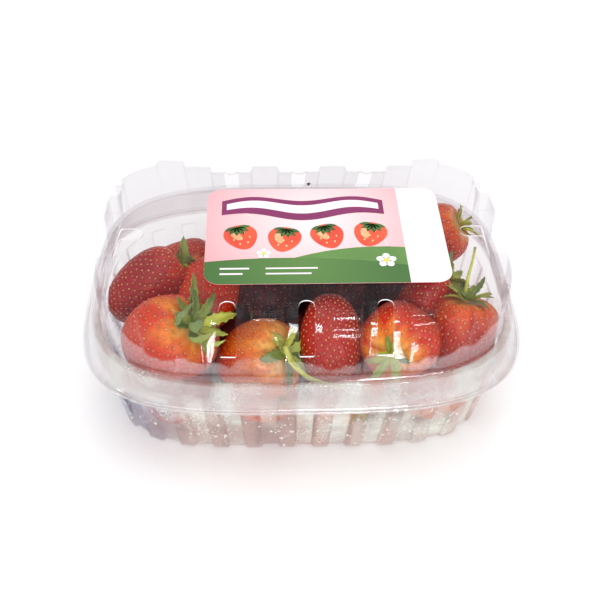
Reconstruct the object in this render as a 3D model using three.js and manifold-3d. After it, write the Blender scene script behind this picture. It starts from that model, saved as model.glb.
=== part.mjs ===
// A shut punnet of strawberries: fluted tray, press-fit lid with vent slots, label on the deck, and berries.
// Millimetres, +Z up, length along X, front towards -Y, origin on the floor under the middle.
import * as THREE from 'three';
import Module from 'manifold-3d';

const wasm = await Module();
wasm.setup();

// Shell of the two formed plastic parts
const WALL = 0.8;
const FLANGE_LENGTH = 144;
const FLANGE_DEPTH = 102;
const FLANGE_SQUARENESS = 3.4;
const FLANGE_Z = 32.1;
const LIP_WIDTH = 1.2;
const SKIRT_TAPER_X = 3;
const SKIRT_TAPER_Y = 0.4;
const LEDGE_Z = 43.8;
const EDGE_ROUND = 0.9;
const DECK_Z = 61.4;
const DECK_ROUND = 1.6;

// Lid wall, from its foot on the ledge to the deck
const FOOT_OUT_X = 0.5;
const FOOT_OUT_Y = 5.2;
const FOOT_SQUARENESS = 3.7;
const FOOT_PATTERN = 0.1;
const WAIST_OUT_Y = 2.3;
const WAIST_Z = 53.8;
const WAIST_SQUARENESS = 4.1;
const WAIST_PATTERN = 0.6;

// Deck outline and its wall pattern
const DECK_LENGTH = 128.8;
const DECK_DEPTH = 80;
const DECK_SQUARENESS = 4.6;
const SLOT_PITCH = 23.4;
const SLOT_WIDTH = 5;
const SLOT_TOP_Y = 31.3;
const SLOT_FOOT_Y = 43;
const SLOT_Z = 48;
const END_SLOT_TOP_X = 50.6;
const END_SLOT_FOOT_X = 62;
const GROOVE_HALF = 6.5;
const GROOVE_Y = 32.9;
const TAB_Y = 36.2;
const SHOULDER_END = 39.3;
const CORNER_TAB_END = 48.2;
const CORNER_TAB_Y = 40;
const END_RECESS_HALF = 10;
const END_RECESS_INSET = 6.4;
const END_TAB = 20;
const END_GROOVE = 24.8;
const END_GROOVE_INSET = 3;
const NOTCH_FROM = 27;
const NOTCH_TO = 28.4;
const NOTCH_INSET = 1.6;
const STEP_RUN = 0.9;

// Tray
const TRAY_BOTTOM_LENGTH = 121.2;
const TRAY_BOTTOM_DEPTH = 75.6;
const TRAY_SQUARENESS = 4.2;
const TRAY_TOP_SQUARENESS = 3.6;
const TRAY_FLARE_X = 4.6;
const TRAY_FLARE_Y = 6.8;
const TRAY_FLANGE_SET_IN = 0.6;
const FOOT_ROUND = 0.7;
const FLUTE_COUNT = 32;
const FLUTE_OUT = 1.4;
const FLUTE_HALF_FOOT = 0.29;
const FLUTE_HALF_CREST = 0.2;
const FLUTE_TOP_Z = 29.5;
const RIM_SET_IN = 2;
const RIM_TOP_Z = 42.4;
const BOTTOM_RELIEF = 1;

// Label
const LABEL_LENGTH = 76;
const LABEL_DEPTH = 46.6;
const LABEL_MIDDLE = [7.2, -1];
const LABEL_CORNER = 5;
const LABEL_THICK = 0.3;
const TOUCH_GAP = 0.3;

// Points closer than one part of this many in a millimetre are one point
const WELD_PER_MM = 10000;

// Berries
const BERRY_SIDES = 8;
const BERRY_WIDTH = 26;
const BERRY_LENGTH = 29;
const SCATTER = 3;
const CORE_SIZE = [96, 50, 28];
const CORE_Z = 26;
const LOWER_XS = [-43, -14.5, 14.5, 43];
const LOWER_YS = [-24, 0, 24];
const LOWER_Z = 15;
const UNDER_LABEL_XS = [-14, 10, 32];
const UNDER_LABEL_YS = [-7, 17];
const UNDER_LABEL_Z = 42;
const HEAP_SEED = 7;
const HEAP_CLEARANCE = 1.2;

// Berries of the upper layer that show through the lid: middle, size, where the calyx points and the stalk.
const UPPER_BERRIES = [
  { at: [-42.5, -25.5, 39], width: 30, length: 32, towards: [0.62, -0.25, 0.55], stalk: 4 },
  { at: [-13.5, -29.5, 33], width: 26, length: 31, towards: [0.9, -0.35, -0.1], stalk: 9 },
  { at: [7.8, -27.6, 41.5], width: 24, length: 29, towards: [0.1, 0.3, -0.9], stalk: 0 },
  { at: [30.3, -27.2, 41.8], width: 26, length: 29, towards: [-0.45, -0.7, -0.45], stalk: 2 },
  { at: [50, -22.5, 39], width: 24, length: 28, towards: [0.05, 0.15, 0.95], stalk: 11 },
  { at: [-47, -3.5, 44.5], width: 26, length: 30, towards: [0.8, 0.5, 0.2], stalk: 0 },
  { at: [-33, -6.4, 43.5], width: 24, length: 28, towards: [0.3, 0.8, 0.3], stalk: 0 },
  { at: [-38, 14, 42.5], width: 25, length: 28, towards: [0.5, -0.4, 0.7], stalk: 4 },
  { at: [49, 20.5, 44], width: 24, length: 27, towards: [0.5, -0.55, 0.5], stalk: 5 },
];

// A point of a rounded rectangle outline at angle t of its unit square, moved outwards by out.
// The same t keeps its place along a side on larger, squarer or rounder outlines.
function outlinePoint(halfX, halfY, squareness, t, out, z) {
  const c = Math.cos(t);
  const s = Math.sin(t);
  const reach = (Math.abs(c) ** squareness + Math.abs(s) ** squareness) ** (-1 / squareness);
  const nx = Math.sign(c) * Math.abs(c) ** (squareness - 1) / halfX;
  const ny = Math.sign(s) * Math.abs(s) ** (squareness - 1) / halfY;
  const size = Math.hypot(nx, ny);
  return [halfX * c * reach + out * nx / size, halfY * s * reach + out * ny / size, z];
}

// Closed mesh of rows of points that run once round, with a fan to a middle point at both ends.
function closedRows(rows, firstMiddle, lastMiddle) {
  const count = rows[0].length;
  const positions = rows.flat().concat([firstMiddle, lastMiddle]).flat();
  const index = [];
  for (let r = 0; r + 1 < rows.length; r += 1) {
    for (let k = 0; k < count; k += 1) {
      const a = r * count + k;
      const b = r * count + (k + 1) % count;
      index.push(a, b, b + count, a, b + count, a + count);
    }
  }
  const first = rows.length * count;
  const lastRow = (rows.length - 1) * count;
  for (let k = 0; k < count; k += 1) {
    index.push(first, (k + 1) % count, k);
    index.push(first + 1, lastRow + k, lastRow + (k + 1) % count);
  }
  return solid(positions, index);
}

function solid(positions, index) {
  return new wasm.Manifold(new wasm.Mesh({
    numProp: 3,
    vertProperties: new Float32Array(positions),
    triVerts: new Uint32Array(index),
  }));
}

function fromGeometry(geometry) {
  const positions = [];
  const index = [];
  const known = new Map();
  const source = geometry.attributes.position;
  const plainOrder = Array.from({ length: source.count }, (_, i) => i);
  const order = geometry.index ? Array.from(geometry.index.array) : plainOrder;
  for (const i of order) {
    const point = [source.getX(i), source.getY(i), source.getZ(i)];
    const key = point.map((v) => Math.round(v * WELD_PER_MM)).join(',');
    if (!known.has(key)) {
      known.set(key, known.size);
      positions.push(...point);
    }
    index.push(known.get(key));
  }
  const whole = [];
  for (let i = 0; i < index.length; i += 3) {
    const [a, b, c] = index.slice(i, i + 3);
    if (a !== b && b !== c && a !== c) whole.push(a, b, c);
  }
  return solid(positions, whole);
}

function meshOf(manifold, name, material) {
  const out = manifold.getMesh();
  const geometry = new THREE.BufferGeometry();
  const points = new Float32Array(out.numVert * 3);
  for (let v = 0; v < out.numVert; v += 1) {
    for (let a = 0; a < 3; a += 1) points[3 * v + a] = out.vertProperties[v * out.numProp + a];
  }
  geometry.setAttribute('position', new THREE.BufferAttribute(points, 3));
  geometry.setIndex(Array.from(out.triVerts));
  geometry.computeVertexNormals();
  const mesh = new THREE.Mesh(geometry, material);
  mesh.name = name;
  return mesh;
}

// Angle of the deck outline where it passes x on the long side, or y on the end.
function atLongSide(x) {
  const share = x / (DECK_LENGTH / 2);
  return Math.atan2((1 - share ** DECK_SQUARENESS) ** (1 / DECK_SQUARENESS), share);
}

function atEnd(y) {
  const share = y / (DECK_DEPTH / 2);
  return Math.atan2(share, (1 - share ** DECK_SQUARENESS) ** (1 / DECK_SQUARENESS));
}

// Station on the long side whose deck edge lies at y.
function longSideStation(x, y) {
  const t = atLongSide(x);
  return [t, outlinePoint(DECK_LENGTH / 2, DECK_DEPTH / 2, DECK_SQUARENESS, t, 0, 0)[1] - y];
}

// One quarter of the deck outline, from the middle of an end to the middle of a long side: [angle, inset].
function deckQuarter() {
  const quarter = [
    [atEnd(0), END_RECESS_INSET],
    [atEnd(END_RECESS_HALF), END_RECESS_INSET],
    [atEnd(END_RECESS_HALF + STEP_RUN), 0],
    [atEnd(END_TAB), 0],
    [atEnd(END_TAB + STEP_RUN), END_GROOVE_INSET],
    [atEnd(END_GROOVE), END_GROOVE_INSET],
    [atEnd(END_GROOVE + STEP_RUN), 0],
    [atEnd(NOTCH_FROM - STEP_RUN), 0],
    [atEnd(NOTCH_FROM), NOTCH_INSET],
    [atEnd(NOTCH_TO), NOTCH_INSET],
  ];
  const cornerSteps = 5;
  const cornerFrom = atEnd(NOTCH_TO + STEP_RUN);
  const cornerTo = atLongSide(CORNER_TAB_END + 2 * STEP_RUN);
  for (let k = 0; k <= cornerSteps; k += 1) {
    quarter.push([cornerFrom + (cornerTo - cornerFrom) * k / cornerSteps, 0]);
  }
  quarter.push(longSideStation(CORNER_TAB_END, CORNER_TAB_Y));
  quarter.push(longSideStation(SHOULDER_END + STEP_RUN, CORNER_TAB_Y));
  quarter.push(longSideStation(SHOULDER_END, TAB_Y));
  for (const k of [1, 0]) {
    const middle = k * SLOT_PITCH;
    quarter.push(longSideStation(middle + GROOVE_HALF + STEP_RUN, TAB_Y));
    quarter.push(longSideStation(middle + GROOVE_HALF, GROOVE_Y));
    if (k > 0) {
      quarter.push(longSideStation(middle - GROOVE_HALF, GROOVE_Y));
      quarter.push(longSideStation(middle - GROOVE_HALF - STEP_RUN, TAB_Y));
    }
  }
  quarter.push(longSideStation(0, GROOVE_Y));
  return quarter;
}

// The quarter mirrored all the way round.
function mirroredRound(quarter) {
  const back = quarter.slice(0, -1).reverse().map(([t, inset]) => [Math.PI - t, inset]);
  const half = quarter.concat(back);
  const front = half.slice(1, -1).map(([t, inset]) => [t + Math.PI, inset]);
  return half.concat(front);
}

// One level of a formed wall: half sizes, squareness, height and how much of the wall pattern it takes.
function level(x, y, squareness, z, pattern = 0) {
  return { x, y, squareness, z, pattern };
}

// The levels moved in by the wall, square to the section that they make.
function movedIn(levels, before, after) {
  const section = [before, ...levels, after];
  return levels.map((here, k) => {
    const back = section[k];
    const next = section[k + 2];
    const down = unit(here.y - back.y, here.z - back.z);
    const up = unit(next.y - here.y, next.z - here.z);
    const share = WALL / (1 + down[0] * up[0] + down[1] * up[1]);
    const aside = -(down[1] + up[1]) * share;
    const rise = (down[0] + up[0]) * share;
    return level(here.x + aside, here.y + aside, here.squareness, here.z + rise, here.pattern);
  });
}

function unit(a, b) {
  const size = Math.hypot(a, b);
  return [a / size, b / size];
}

// A hole cutter with round ends, long along X or Y.
function slotCutter(from, to, alongX, side) {
  const radius = SLOT_WIDTH / 2;
  const length = to - from - SLOT_WIDTH;
  const shape = new THREE.Shape();
  shape.absarc(0, from + radius, radius, Math.PI, 2 * Math.PI, false);
  shape.absarc(0, from + radius + length, radius, 0, Math.PI, false);
  const depth = DECK_Z + TOUCH_GAP - SLOT_Z;
  const cutter = new THREE.ExtrudeGeometry(shape, { depth, bevelEnabled: false, curveSegments: 5 });
  cutter.translate(0, 0, SLOT_Z);
  cutter.rotateZ(alongX ? -side * Math.PI / 2 : (side > 0 ? 0 : Math.PI));
  return fromGeometry(cutter);
}

// The outside of the lid, from the foot of its skirt to the deck.
function lidLevels() {
  const deckX = DECK_LENGTH / 2;
  const deckY = DECK_DEPTH / 2;
  const skirtX = FLANGE_LENGTH / 2 - LIP_WIDTH;
  const skirtY = FLANGE_DEPTH / 2 - LIP_WIDTH;
  const topX = skirtX - SKIRT_TAPER_X;
  const topY = skirtY - SKIRT_TAPER_Y;
  return [
    level(skirtX, skirtY, FLANGE_SQUARENESS, FLANGE_Z + WALL),
    level(topX, topY, FLANGE_SQUARENESS, LEDGE_Z - EDGE_ROUND),
    level(topX - EDGE_ROUND, topY - EDGE_ROUND, FLANGE_SQUARENESS, LEDGE_Z),
    level(deckX + FOOT_OUT_X + EDGE_ROUND, deckY + FOOT_OUT_Y + EDGE_ROUND, FOOT_SQUARENESS, LEDGE_Z),
    level(deckX + FOOT_OUT_X, deckY + FOOT_OUT_Y, FOOT_SQUARENESS, LEDGE_Z + EDGE_ROUND, FOOT_PATTERN),
    level(deckX + FOOT_OUT_X, deckY + WAIST_OUT_Y, WAIST_SQUARENESS, WAIST_Z, WAIST_PATTERN),
    level(deckX, deckY, DECK_SQUARENESS, DECK_Z - DECK_ROUND, 1),
    level(deckX - DECK_ROUND, deckY - DECK_ROUND, DECK_SQUARENESS, DECK_Z, 1),
  ];
}

function lid() {
  const stations = mirroredRound(deckQuarter());
  const lipX = FLANGE_LENGTH / 2;
  const lipY = FLANGE_DEPTH / 2;
  const lipUnder = level(lipX, lipY, FLANGE_SQUARENESS, FLANGE_Z);
  const lipOver = level(lipX, lipY, FLANGE_SQUARENESS, FLANGE_Z + WALL);
  const middle = level(0, 0, DECK_SQUARENESS, DECK_Z);
  const outside = lidLevels();
  const inside = movedIn(outside, lipOver, middle);
  const rows = [...inside.reverse(), lipUnder, lipOver, ...outside].map((at) => stations.map(
    ([t, inset]) => outlinePoint(at.x, at.y, at.squareness, t, -inset * at.pattern, at.z),
  ));
  let shell = closedRows(rows, [0, 0, DECK_Z - WALL], [0, 0, DECK_Z]);
  for (const side of [-1, 1]) {
    for (const k of [-1, 0, 1]) {
      const cutter = slotCutter(SLOT_TOP_Y, SLOT_FOOT_Y, false, side);
      shell = shell.subtract(cutter.translate([k * SLOT_PITCH, 0, 0]));
    }
    shell = shell.subtract(slotCutter(END_SLOT_TOP_X, END_SLOT_FOOT_X, true, side));
  }
  return shell;
}

// Stations round the tray: each flute has a foot, two crest stations and a foot.
function trayStations() {
  const steps = 720;
  const halfX = TRAY_BOTTOM_LENGTH / 2;
  const halfY = TRAY_BOTTOM_DEPTH / 2;
  const lengths = [0];
  let before = outlinePoint(halfX, halfY, TRAY_SQUARENESS, 0, 0, 0);
  for (let k = 1; k <= steps; k += 1) {
    const point = outlinePoint(halfX, halfY, TRAY_SQUARENESS, 2 * Math.PI * k / steps, 0, 0);
    lengths.push(lengths[k - 1] + Math.hypot(point[0] - before[0], point[1] - before[1]));
    before = point;
  }
  const pitch = lengths[steps] / FLUTE_COUNT;
  const angleAt = (length) => {
    let k = 0;
    while (lengths[k + 1] < length) k += 1;
    return 2 * Math.PI * (k + (length - lengths[k]) / (lengths[k + 1] - lengths[k])) / steps;
  };
  const stations = [];
  for (let f = 0; f < FLUTE_COUNT; f += 1) {
    const middle = (f + 0.5) * pitch;
    stations.push([angleAt(middle - FLUTE_HALF_FOOT * pitch), 0]);
    stations.push([angleAt(middle - FLUTE_HALF_CREST * pitch), 1]);
    stations.push([angleAt(middle + FLUTE_HALF_CREST * pitch), 1]);
    stations.push([angleAt(middle + FLUTE_HALF_FOOT * pitch), 0]);
  }
  return stations;
}

function tray() {
  const stations = trayStations();
  const lipX = FLANGE_LENGTH / 2 - TRAY_FLANGE_SET_IN;
  const lipY = FLANGE_DEPTH / 2 - TRAY_FLANGE_SET_IN;
  const rimX = lipX - RIM_SET_IN;
  const rimY = lipY - RIM_SET_IN;
  const rimTopX = rimX - SKIRT_TAPER_X;
  const rimTopY = rimY - SKIRT_TAPER_Y;
  const footX = TRAY_BOTTOM_LENGTH / 2;
  const footY = TRAY_BOTTOM_DEPTH / 2;
  const topX = footX + TRAY_FLARE_X;
  const topY = footY + TRAY_FLARE_Y;
  const flangeTop = FLANGE_Z - TOUCH_GAP;
  const flangeUnder = flangeTop - WALL;
  const rimFoot = flangeTop + BOTTOM_RELIEF / 2;
  const levels = [
    level(footX - FOOT_ROUND, footY - FOOT_ROUND, TRAY_SQUARENESS, 0, 1),
    level(footX, footY, TRAY_SQUARENESS, FOOT_ROUND, 1),
    level(topX, topY, TRAY_TOP_SQUARENESS, FLUTE_TOP_Z, 1),
    level(topX + FOOT_ROUND, topY + FOOT_ROUND, TRAY_TOP_SQUARENESS, flangeUnder),
    level(lipX, lipY, FLANGE_SQUARENESS, flangeUnder),
    level(lipX, lipY, FLANGE_SQUARENESS, flangeTop),
    level(rimX, rimY, FLANGE_SQUARENESS, flangeTop),
    level(rimTopX, rimTopY, FLANGE_SQUARENESS, RIM_TOP_Z),
    level(rimTopX - WALL, rimTopY - WALL, FLANGE_SQUARENESS, RIM_TOP_Z),
    level(rimX - WALL, rimY - WALL, FLANGE_SQUARENESS, rimFoot),
    level(topX, topY, TRAY_TOP_SQUARENESS, rimFoot),
    level(topX - WALL, topY - WALL, TRAY_TOP_SQUARENESS, FLUTE_TOP_Z, 1),
    level(footX - WALL, footY - WALL, TRAY_SQUARENESS, FOOT_ROUND + BOTTOM_RELIEF, 1),
    level(footX - WALL - FOOT_ROUND, footY - WALL - FOOT_ROUND, TRAY_SQUARENESS, WALL, 1),
  ];
  const rows = levels.map((at) => stations.map(
    ([t, flute]) => outlinePoint(at.x, at.y, at.squareness, t, flute * FLUTE_OUT * at.pattern, at.z),
  ));
  return closedRows(rows, [0, 0, 0], [0, 0, WALL]);
}

// The label is a thin sheet with round corners.
function label() {
  const halfX = LABEL_LENGTH / 2;
  const halfY = LABEL_DEPTH / 2;
  const r = LABEL_CORNER;
  const shape = new THREE.Shape();
  shape.absarc(halfX - r, -halfY + r, r, -Math.PI / 2, 0, false);
  shape.absarc(halfX - r, halfY - r, r, 0, Math.PI / 2, false);
  shape.absarc(-halfX + r, halfY - r, r, Math.PI / 2, Math.PI, false);
  shape.absarc(-halfX + r, -halfY + r, r, Math.PI, 1.5 * Math.PI, false);
  const depth = LABEL_THICK;
  const sheet = new THREE.ExtrudeGeometry(shape, { depth, bevelEnabled: false, curveSegments: 5 });
  sheet.translate(LABEL_MIDDLE[0], LABEL_MIDDLE[1], DECK_Z + TOUCH_GAP);
  return fromGeometry(sheet);
}

// Seeded random draws, 0 to 1.
function drawsFrom(seed) {
  let state = seed;
  return () => {
    state = (state * 1664525 + 1013904223) % 4294967296;
    return state / 4294967296;
  };
}

// One berry along +Z, calyx end up, tip down, its middle at the origin.
function berryShape(width, length) {
  const rows = [];
  const rowCount = 5;
  for (let r = 1; r <= rowCount; r += 1) {
    const share = r / (rowCount + 1);
    const z = -length / 2 + length * share;
    const radius = width / 2 * Math.sin(Math.PI * share ** 0.8) ** 0.72;
    const row = [];
    for (let k = 0; k < BERRY_SIDES; k += 1) {
      const a = 2 * Math.PI * (k + 0.5 * (r % 2)) / BERRY_SIDES;
      row.push([radius * Math.cos(a), radius * Math.sin(a), z]);
    }
    rows.push(row);
  }
  return closedRows(rows, [0, 0, -length / 2], [0, 0, length / 2 - 1]);
}

// Calyx of pointed leaves that bend down over the shoulder, with a short stalk.
function calyx(width, length, stalk) {
  const leaves = 6;
  const reach = width * 0.46;
  const top = length / 2 + 1;
  const upper = [];
  const lower = [];
  for (let k = 0; k < 2 * leaves; k += 1) {
    const a = Math.PI * k / leaves;
    const out = k % 2 === 0 ? reach : reach * 0.35;
    const drop = k % 2 === 0 ? 2 : 0;
    upper.push([out * Math.cos(a), out * Math.sin(a), top - drop]);
    lower.push([out * Math.cos(a), out * Math.sin(a), top - drop - 1]);
  }
  const star = closedRows([lower, upper], [0, 0, top - 3], [0, 0, top + 0.4]);
  const stalkCylinder = new THREE.CylinderGeometry(0.8, 1, stalk, 6);
  stalkCylinder.rotateX(Math.PI / 2);
  stalkCylinder.translate(0, 0, top - 1 + stalk / 2);
  return star.add(fromGeometry(stalkCylinder));
}

// Turn given by the direction that the calyx end points to.
function turned(shape, direction) {
  const turn = new THREE.Quaternion().setFromUnitVectors(
    new THREE.Vector3(0, 0, 1),
    new THREE.Vector3(...direction).normalize(),
  );
  const m = new THREE.Matrix4().makeRotationFromQuaternion(turn);
  return shape.transform(m.elements);
}

function placedBerry({ at, width, length, towards, stalk }) {
  let berry = berryShape(width, length);
  if (stalk > 0) berry = berry.add(calyx(width, length, stalk));
  return turned(berry, towards).translate(at);
}

function heap() {
  const draw = drawsFrom(HEAP_SEED);
  const lean = () => [draw() - 0.5, draw() - 0.5, draw() - 0.5];
  const scattered = (x, y, z) => [x + SCATTER * draw(), y + SCATTER * draw(), z + SCATTER * draw()];
  const plainBerry = (at) => placedBerry({
    at, width: BERRY_WIDTH, length: BERRY_LENGTH, towards: lean(), stalk: 0,
  });
  const core = new THREE.BoxGeometry(...CORE_SIZE);
  core.translate(0, 0, CORE_Z);
  let whole = fromGeometry(core);
  for (const berry of UPPER_BERRIES) whole = whole.add(placedBerry(berry));
  for (const y of UNDER_LABEL_YS) {
    for (const x of UNDER_LABEL_XS) whole = whole.add(plainBerry(scattered(x, y, UNDER_LABEL_Z)));
  }
  for (const y of LOWER_YS) {
    for (const x of LOWER_XS) {
      whole = whole.add(plainBerry(scattered(x - SCATTER / 2, y - SCATTER / 2, LOWER_Z)));
    }
  }
  return whole.intersect(insideSpace());
}

// The room inside the shells, which the berries press against.
function insideSpace() {
  const count = 48;
  const deckX = DECK_LENGTH / 2 - WALL - HEAP_CLEARANCE;
  const deckY = DECK_DEPTH / 2 - WALL - HEAP_CLEARANCE;
  const footX = TRAY_BOTTOM_LENGTH / 2 - WALL - HEAP_CLEARANCE;
  const footY = TRAY_BOTTOM_DEPTH / 2 - WALL - HEAP_CLEARANCE;
  const grooveY = DECK_DEPTH / 2 - GROOVE_Y;
  const floorZ = WALL + TOUCH_GAP;
  const topZ = DECK_Z - WALL - TOUCH_GAP;
  const levels = [
    level(footX, footY, TRAY_SQUARENESS, floorZ),
    level(footX + TRAY_FLARE_X, footY + TRAY_FLARE_Y, TRAY_TOP_SQUARENESS, FLUTE_TOP_Z),
    level(deckX, deckY + FOOT_OUT_Y, TRAY_TOP_SQUARENESS, LEDGE_Z),
    level(deckX - END_RECESS_INSET * WAIST_PATTERN, deckY + WAIST_OUT_Y - grooveY * WAIST_PATTERN,
      WAIST_SQUARENESS, WAIST_Z),
    level(deckX - END_RECESS_INSET - DECK_ROUND, deckY - grooveY - DECK_ROUND, DECK_SQUARENESS, topZ),
  ];
  const rows = levels.map((at) => Array.from({ length: count }, (_, k) => outlinePoint(
    at.x, at.y, at.squareness, 2 * Math.PI * k / count, 0, at.z,
  )));
  return closedRows(rows, [0, 0, floorZ], [0, 0, topZ]);
}

function clearPlastic() {
  return new THREE.MeshStandardMaterial({
    color: 0xe4e1e6, roughness: 0.15, transparent: true, opacity: 0.35,
  });
}

const group = new THREE.Group();
group.add(meshOf(tray(), 'base_tray', clearPlastic()));
group.add(meshOf(lid(), 'lid', clearPlastic()));
group.add(meshOf(label(), 'label', new THREE.MeshStandardMaterial({ color: 0xf3b6bd, roughness: 0.5 })));
group.add(meshOf(heap(), 'berries', new THREE.MeshStandardMaterial({ color: 0xb3261c, roughness: 0.45 })));

export default group;
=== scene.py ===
"""A shut clear punnet of strawberries, laid out as an add-on and run as a script.

Shapes are worked out in millimetres in the CAD frame and scaled to metres when a piece is finished.
"""
import math
import random
from collections import namedtuple
from functools import reduce

import bmesh
import bpy
import numpy as np
from mathutils import Matrix, Vector, noise


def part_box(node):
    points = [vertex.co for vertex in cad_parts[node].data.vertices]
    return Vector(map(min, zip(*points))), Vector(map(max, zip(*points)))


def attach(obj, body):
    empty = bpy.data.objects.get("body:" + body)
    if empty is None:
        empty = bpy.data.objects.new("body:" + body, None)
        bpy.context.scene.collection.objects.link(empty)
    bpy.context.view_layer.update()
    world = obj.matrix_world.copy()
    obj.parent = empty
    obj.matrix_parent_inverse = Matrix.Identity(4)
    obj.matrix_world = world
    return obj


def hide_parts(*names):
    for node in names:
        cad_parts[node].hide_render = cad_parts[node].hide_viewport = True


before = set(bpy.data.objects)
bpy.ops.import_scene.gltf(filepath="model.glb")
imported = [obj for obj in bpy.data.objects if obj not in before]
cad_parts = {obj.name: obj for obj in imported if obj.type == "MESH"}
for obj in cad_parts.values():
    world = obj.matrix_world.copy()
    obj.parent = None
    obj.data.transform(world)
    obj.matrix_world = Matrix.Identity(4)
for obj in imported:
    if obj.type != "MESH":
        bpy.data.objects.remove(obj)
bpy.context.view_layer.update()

bl_info = {
    "name": "Strawberry punnet",
    "version": (1, 0, 0),
    "blender": (4, 5, 0),
    "location": "View3D > Sidebar > Punnet",
    "description": "Builds a shut clear punnet of strawberries with its label and a plain studio",
    "category": "Add Mesh",
}

MM = 0.001
WELD = 0.001
BODY = "root"

# Heights and outlines of the shells, as in the solids
LID_BOX = [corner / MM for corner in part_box("lid")]
FLANGE_LENGTH = LID_BOX[1][0] - LID_BOX[0][0]
FLANGE_DEPTH = LID_BOX[1][1] - LID_BOX[0][1]
FLANGE_Z = LID_BOX[0][2]
DECK_Z = LID_BOX[1][2]
FLANGE_SQUARENESS = 3.4
LIP_WIDTH = 1.2
SKIRT_TAPER_X = 3.0
SKIRT_TAPER_Y = 0.4
LEDGE_Z = 43.8
DECK_LENGTH = 128.8
DECK_DEPTH = 80.0
DECK_SQUARENESS = 4.6
FOOT_SQUARENESS = 3.7
WAIST_SQUARENESS = 4.1
WAIST_Z = 53.8
CROWN_Z = 57.6
FILM = 0.4
WALL_FOOT_Z = 43.4
MILKY_LINE_Z = 46.2
MILKY_END_Z = 46.9
MILKY_RISE = 7.5

# Pattern of the lid's wall
SLOT_PITCH = 23.4
SLOT_WIDTH = 5.0
SLOT_TOP_Y = 31.3
SLOT_FOOT_Y = 43.0
SLOT_Z = 48.0
END_SLOT_TOP_X = 50.6
END_SLOT_FOOT_X = 62.0
GROOVE_HALF = 6.5
GROOVE_Y = 32.9
TAB_Y = 36.2
SHOULDER_END = 39.3
CORNER_TAB_END = 48.2
CORNER_TAB_Y = 40.0
END_RECESS_HALF = 10.0
END_RECESS_INSET = 6.4
END_TAB = 20.0
END_GROOVE = 24.8
END_GROOVE_INSET = 3.0
NOTCH_FROM = 27.0
NOTCH_TO = 28.4
NOTCH_INSET = 1.6
STEP_RUN = 0.9

# Tray
TRAY_BOTTOM_LENGTH = 121.2
TRAY_BOTTOM_DEPTH = 75.6
TRAY_SQUARENESS = 4.2
TRAY_TOP_SQUARENESS = 3.6
TRAY_FLARE_X = 4.6
TRAY_FLARE_Y = 6.8
FLUTE_COUNT = 32
FLUTE_OUT = 1.4
FLUTE_HALF_FOOT = 0.29
FLUTE_HALF_CREST = 0.2
FLUTE_TOP_Z = 29.5
TRAY_FLANGE_Z = 31.6
RIM_TOP_Z = 42.4
MIST_BACK_Y = 5.0
MIST_FADE = 20.0
MIST_FOOT_Z = 0.5
DROP_DRAW = 5
DROP_BATCHES = 20
DROPS_A_CLUSTER = 60
CLUSTERED_SHARE = 0.6

# Camera, from the outlines in the photograph
VIEW_TILT = 44.0
VIEW_TURN = -3.0
VIEW_ROLL = 1.4
VIEW_DISTANCE = 324.8
VIEW_TARGET = (-0.3, 0.0, 31.2)
VIEW_LENS = 57.04

Level = namedtuple("Level", "x y squareness z pattern inset round")
Berry = namedtuple("Berry", "at width length towards kind leaves leaf stalk")


# Shapes shared by the shells

def level(x, y, squareness, z, pattern=0.0, inset=0.0, round=0.0):
    """One outline: half sizes, squareness, height, share of the pattern, inset and radius of its corner."""
    return Level(x, y, squareness, z, pattern, inset, round)


def outline_point(half_x, half_y, squareness, angle, out=0.0):
    """A point of a rounded rectangle, moved outwards by out."""
    if half_x == 0:
        return 0.0, 0.0
    c = math.cos(angle)
    s = math.sin(angle)
    reach = (abs(c) ** squareness + abs(s) ** squareness) ** (-1 / squareness)
    nx = math.copysign(abs(c) ** (squareness - 1), c) / half_x
    ny = math.copysign(abs(s) ** (squareness - 1), s) / half_y
    size = math.hypot(nx, ny)
    return half_x * c * reach + out * nx / size, half_y * s * reach + out * ny / size


def at_long_side(x):
    share = x / (DECK_LENGTH / 2)
    return math.atan2((1 - share ** DECK_SQUARENESS) ** (1 / DECK_SQUARENESS), share)


def at_end(y):
    share = y / (DECK_DEPTH / 2)
    return math.atan2(share, (1 - share ** DECK_SQUARENESS) ** (1 / DECK_SQUARENESS))


def long_side_station(x, y):
    angle = at_long_side(x)
    edge = outline_point(DECK_LENGTH / 2, DECK_DEPTH / 2, DECK_SQUARENESS, angle)
    return angle, edge[1] - y


def deck_quarter():
    """Breaks of one quarter of the deck outline, from the end's middle to the long side's: angle, inset."""
    end_breaks = (
        (0, END_RECESS_INSET), (END_RECESS_HALF, END_RECESS_INSET), (END_RECESS_HALF + STEP_RUN, 0.0),
        (END_TAB, 0.0), (END_TAB + STEP_RUN, END_GROOVE_INSET), (END_GROOVE, END_GROOVE_INSET),
        (END_GROOVE + STEP_RUN, 0.0), (NOTCH_FROM - STEP_RUN, 0.0), (NOTCH_FROM, NOTCH_INSET),
        (NOTCH_TO, NOTCH_INSET), (NOTCH_TO + STEP_RUN, 0.0),
    )
    quarter = [(at_end(y), inset) for y, inset in end_breaks]
    quarter.append((at_long_side(CORNER_TAB_END + 2 * STEP_RUN), 0.0))
    side = [(CORNER_TAB_END, CORNER_TAB_Y), (SHOULDER_END + STEP_RUN, CORNER_TAB_Y), (SHOULDER_END, TAB_Y)]
    for middle in (SLOT_PITCH, 0):
        side += [(middle + GROOVE_HALF + STEP_RUN, TAB_Y), (middle + GROOVE_HALF, GROOVE_Y)]
        if middle:
            side += [(middle - GROOVE_HALF, GROOVE_Y), (middle - GROOVE_HALF - STEP_RUN, TAB_Y)]
    side.append((0, GROOVE_Y))
    return quarter + [long_side_station(x, y) for x, y in side]


def mirrored_round(quarter):
    back = [(math.pi - angle, inset) for angle, inset in reversed(quarter[:-1])]
    half = quarter + back
    front = [(angle + math.pi, inset) for angle, inset in half[1:-1]]
    return half + front


def eased(share):
    return share * share * (3 - 2 * share)


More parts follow.
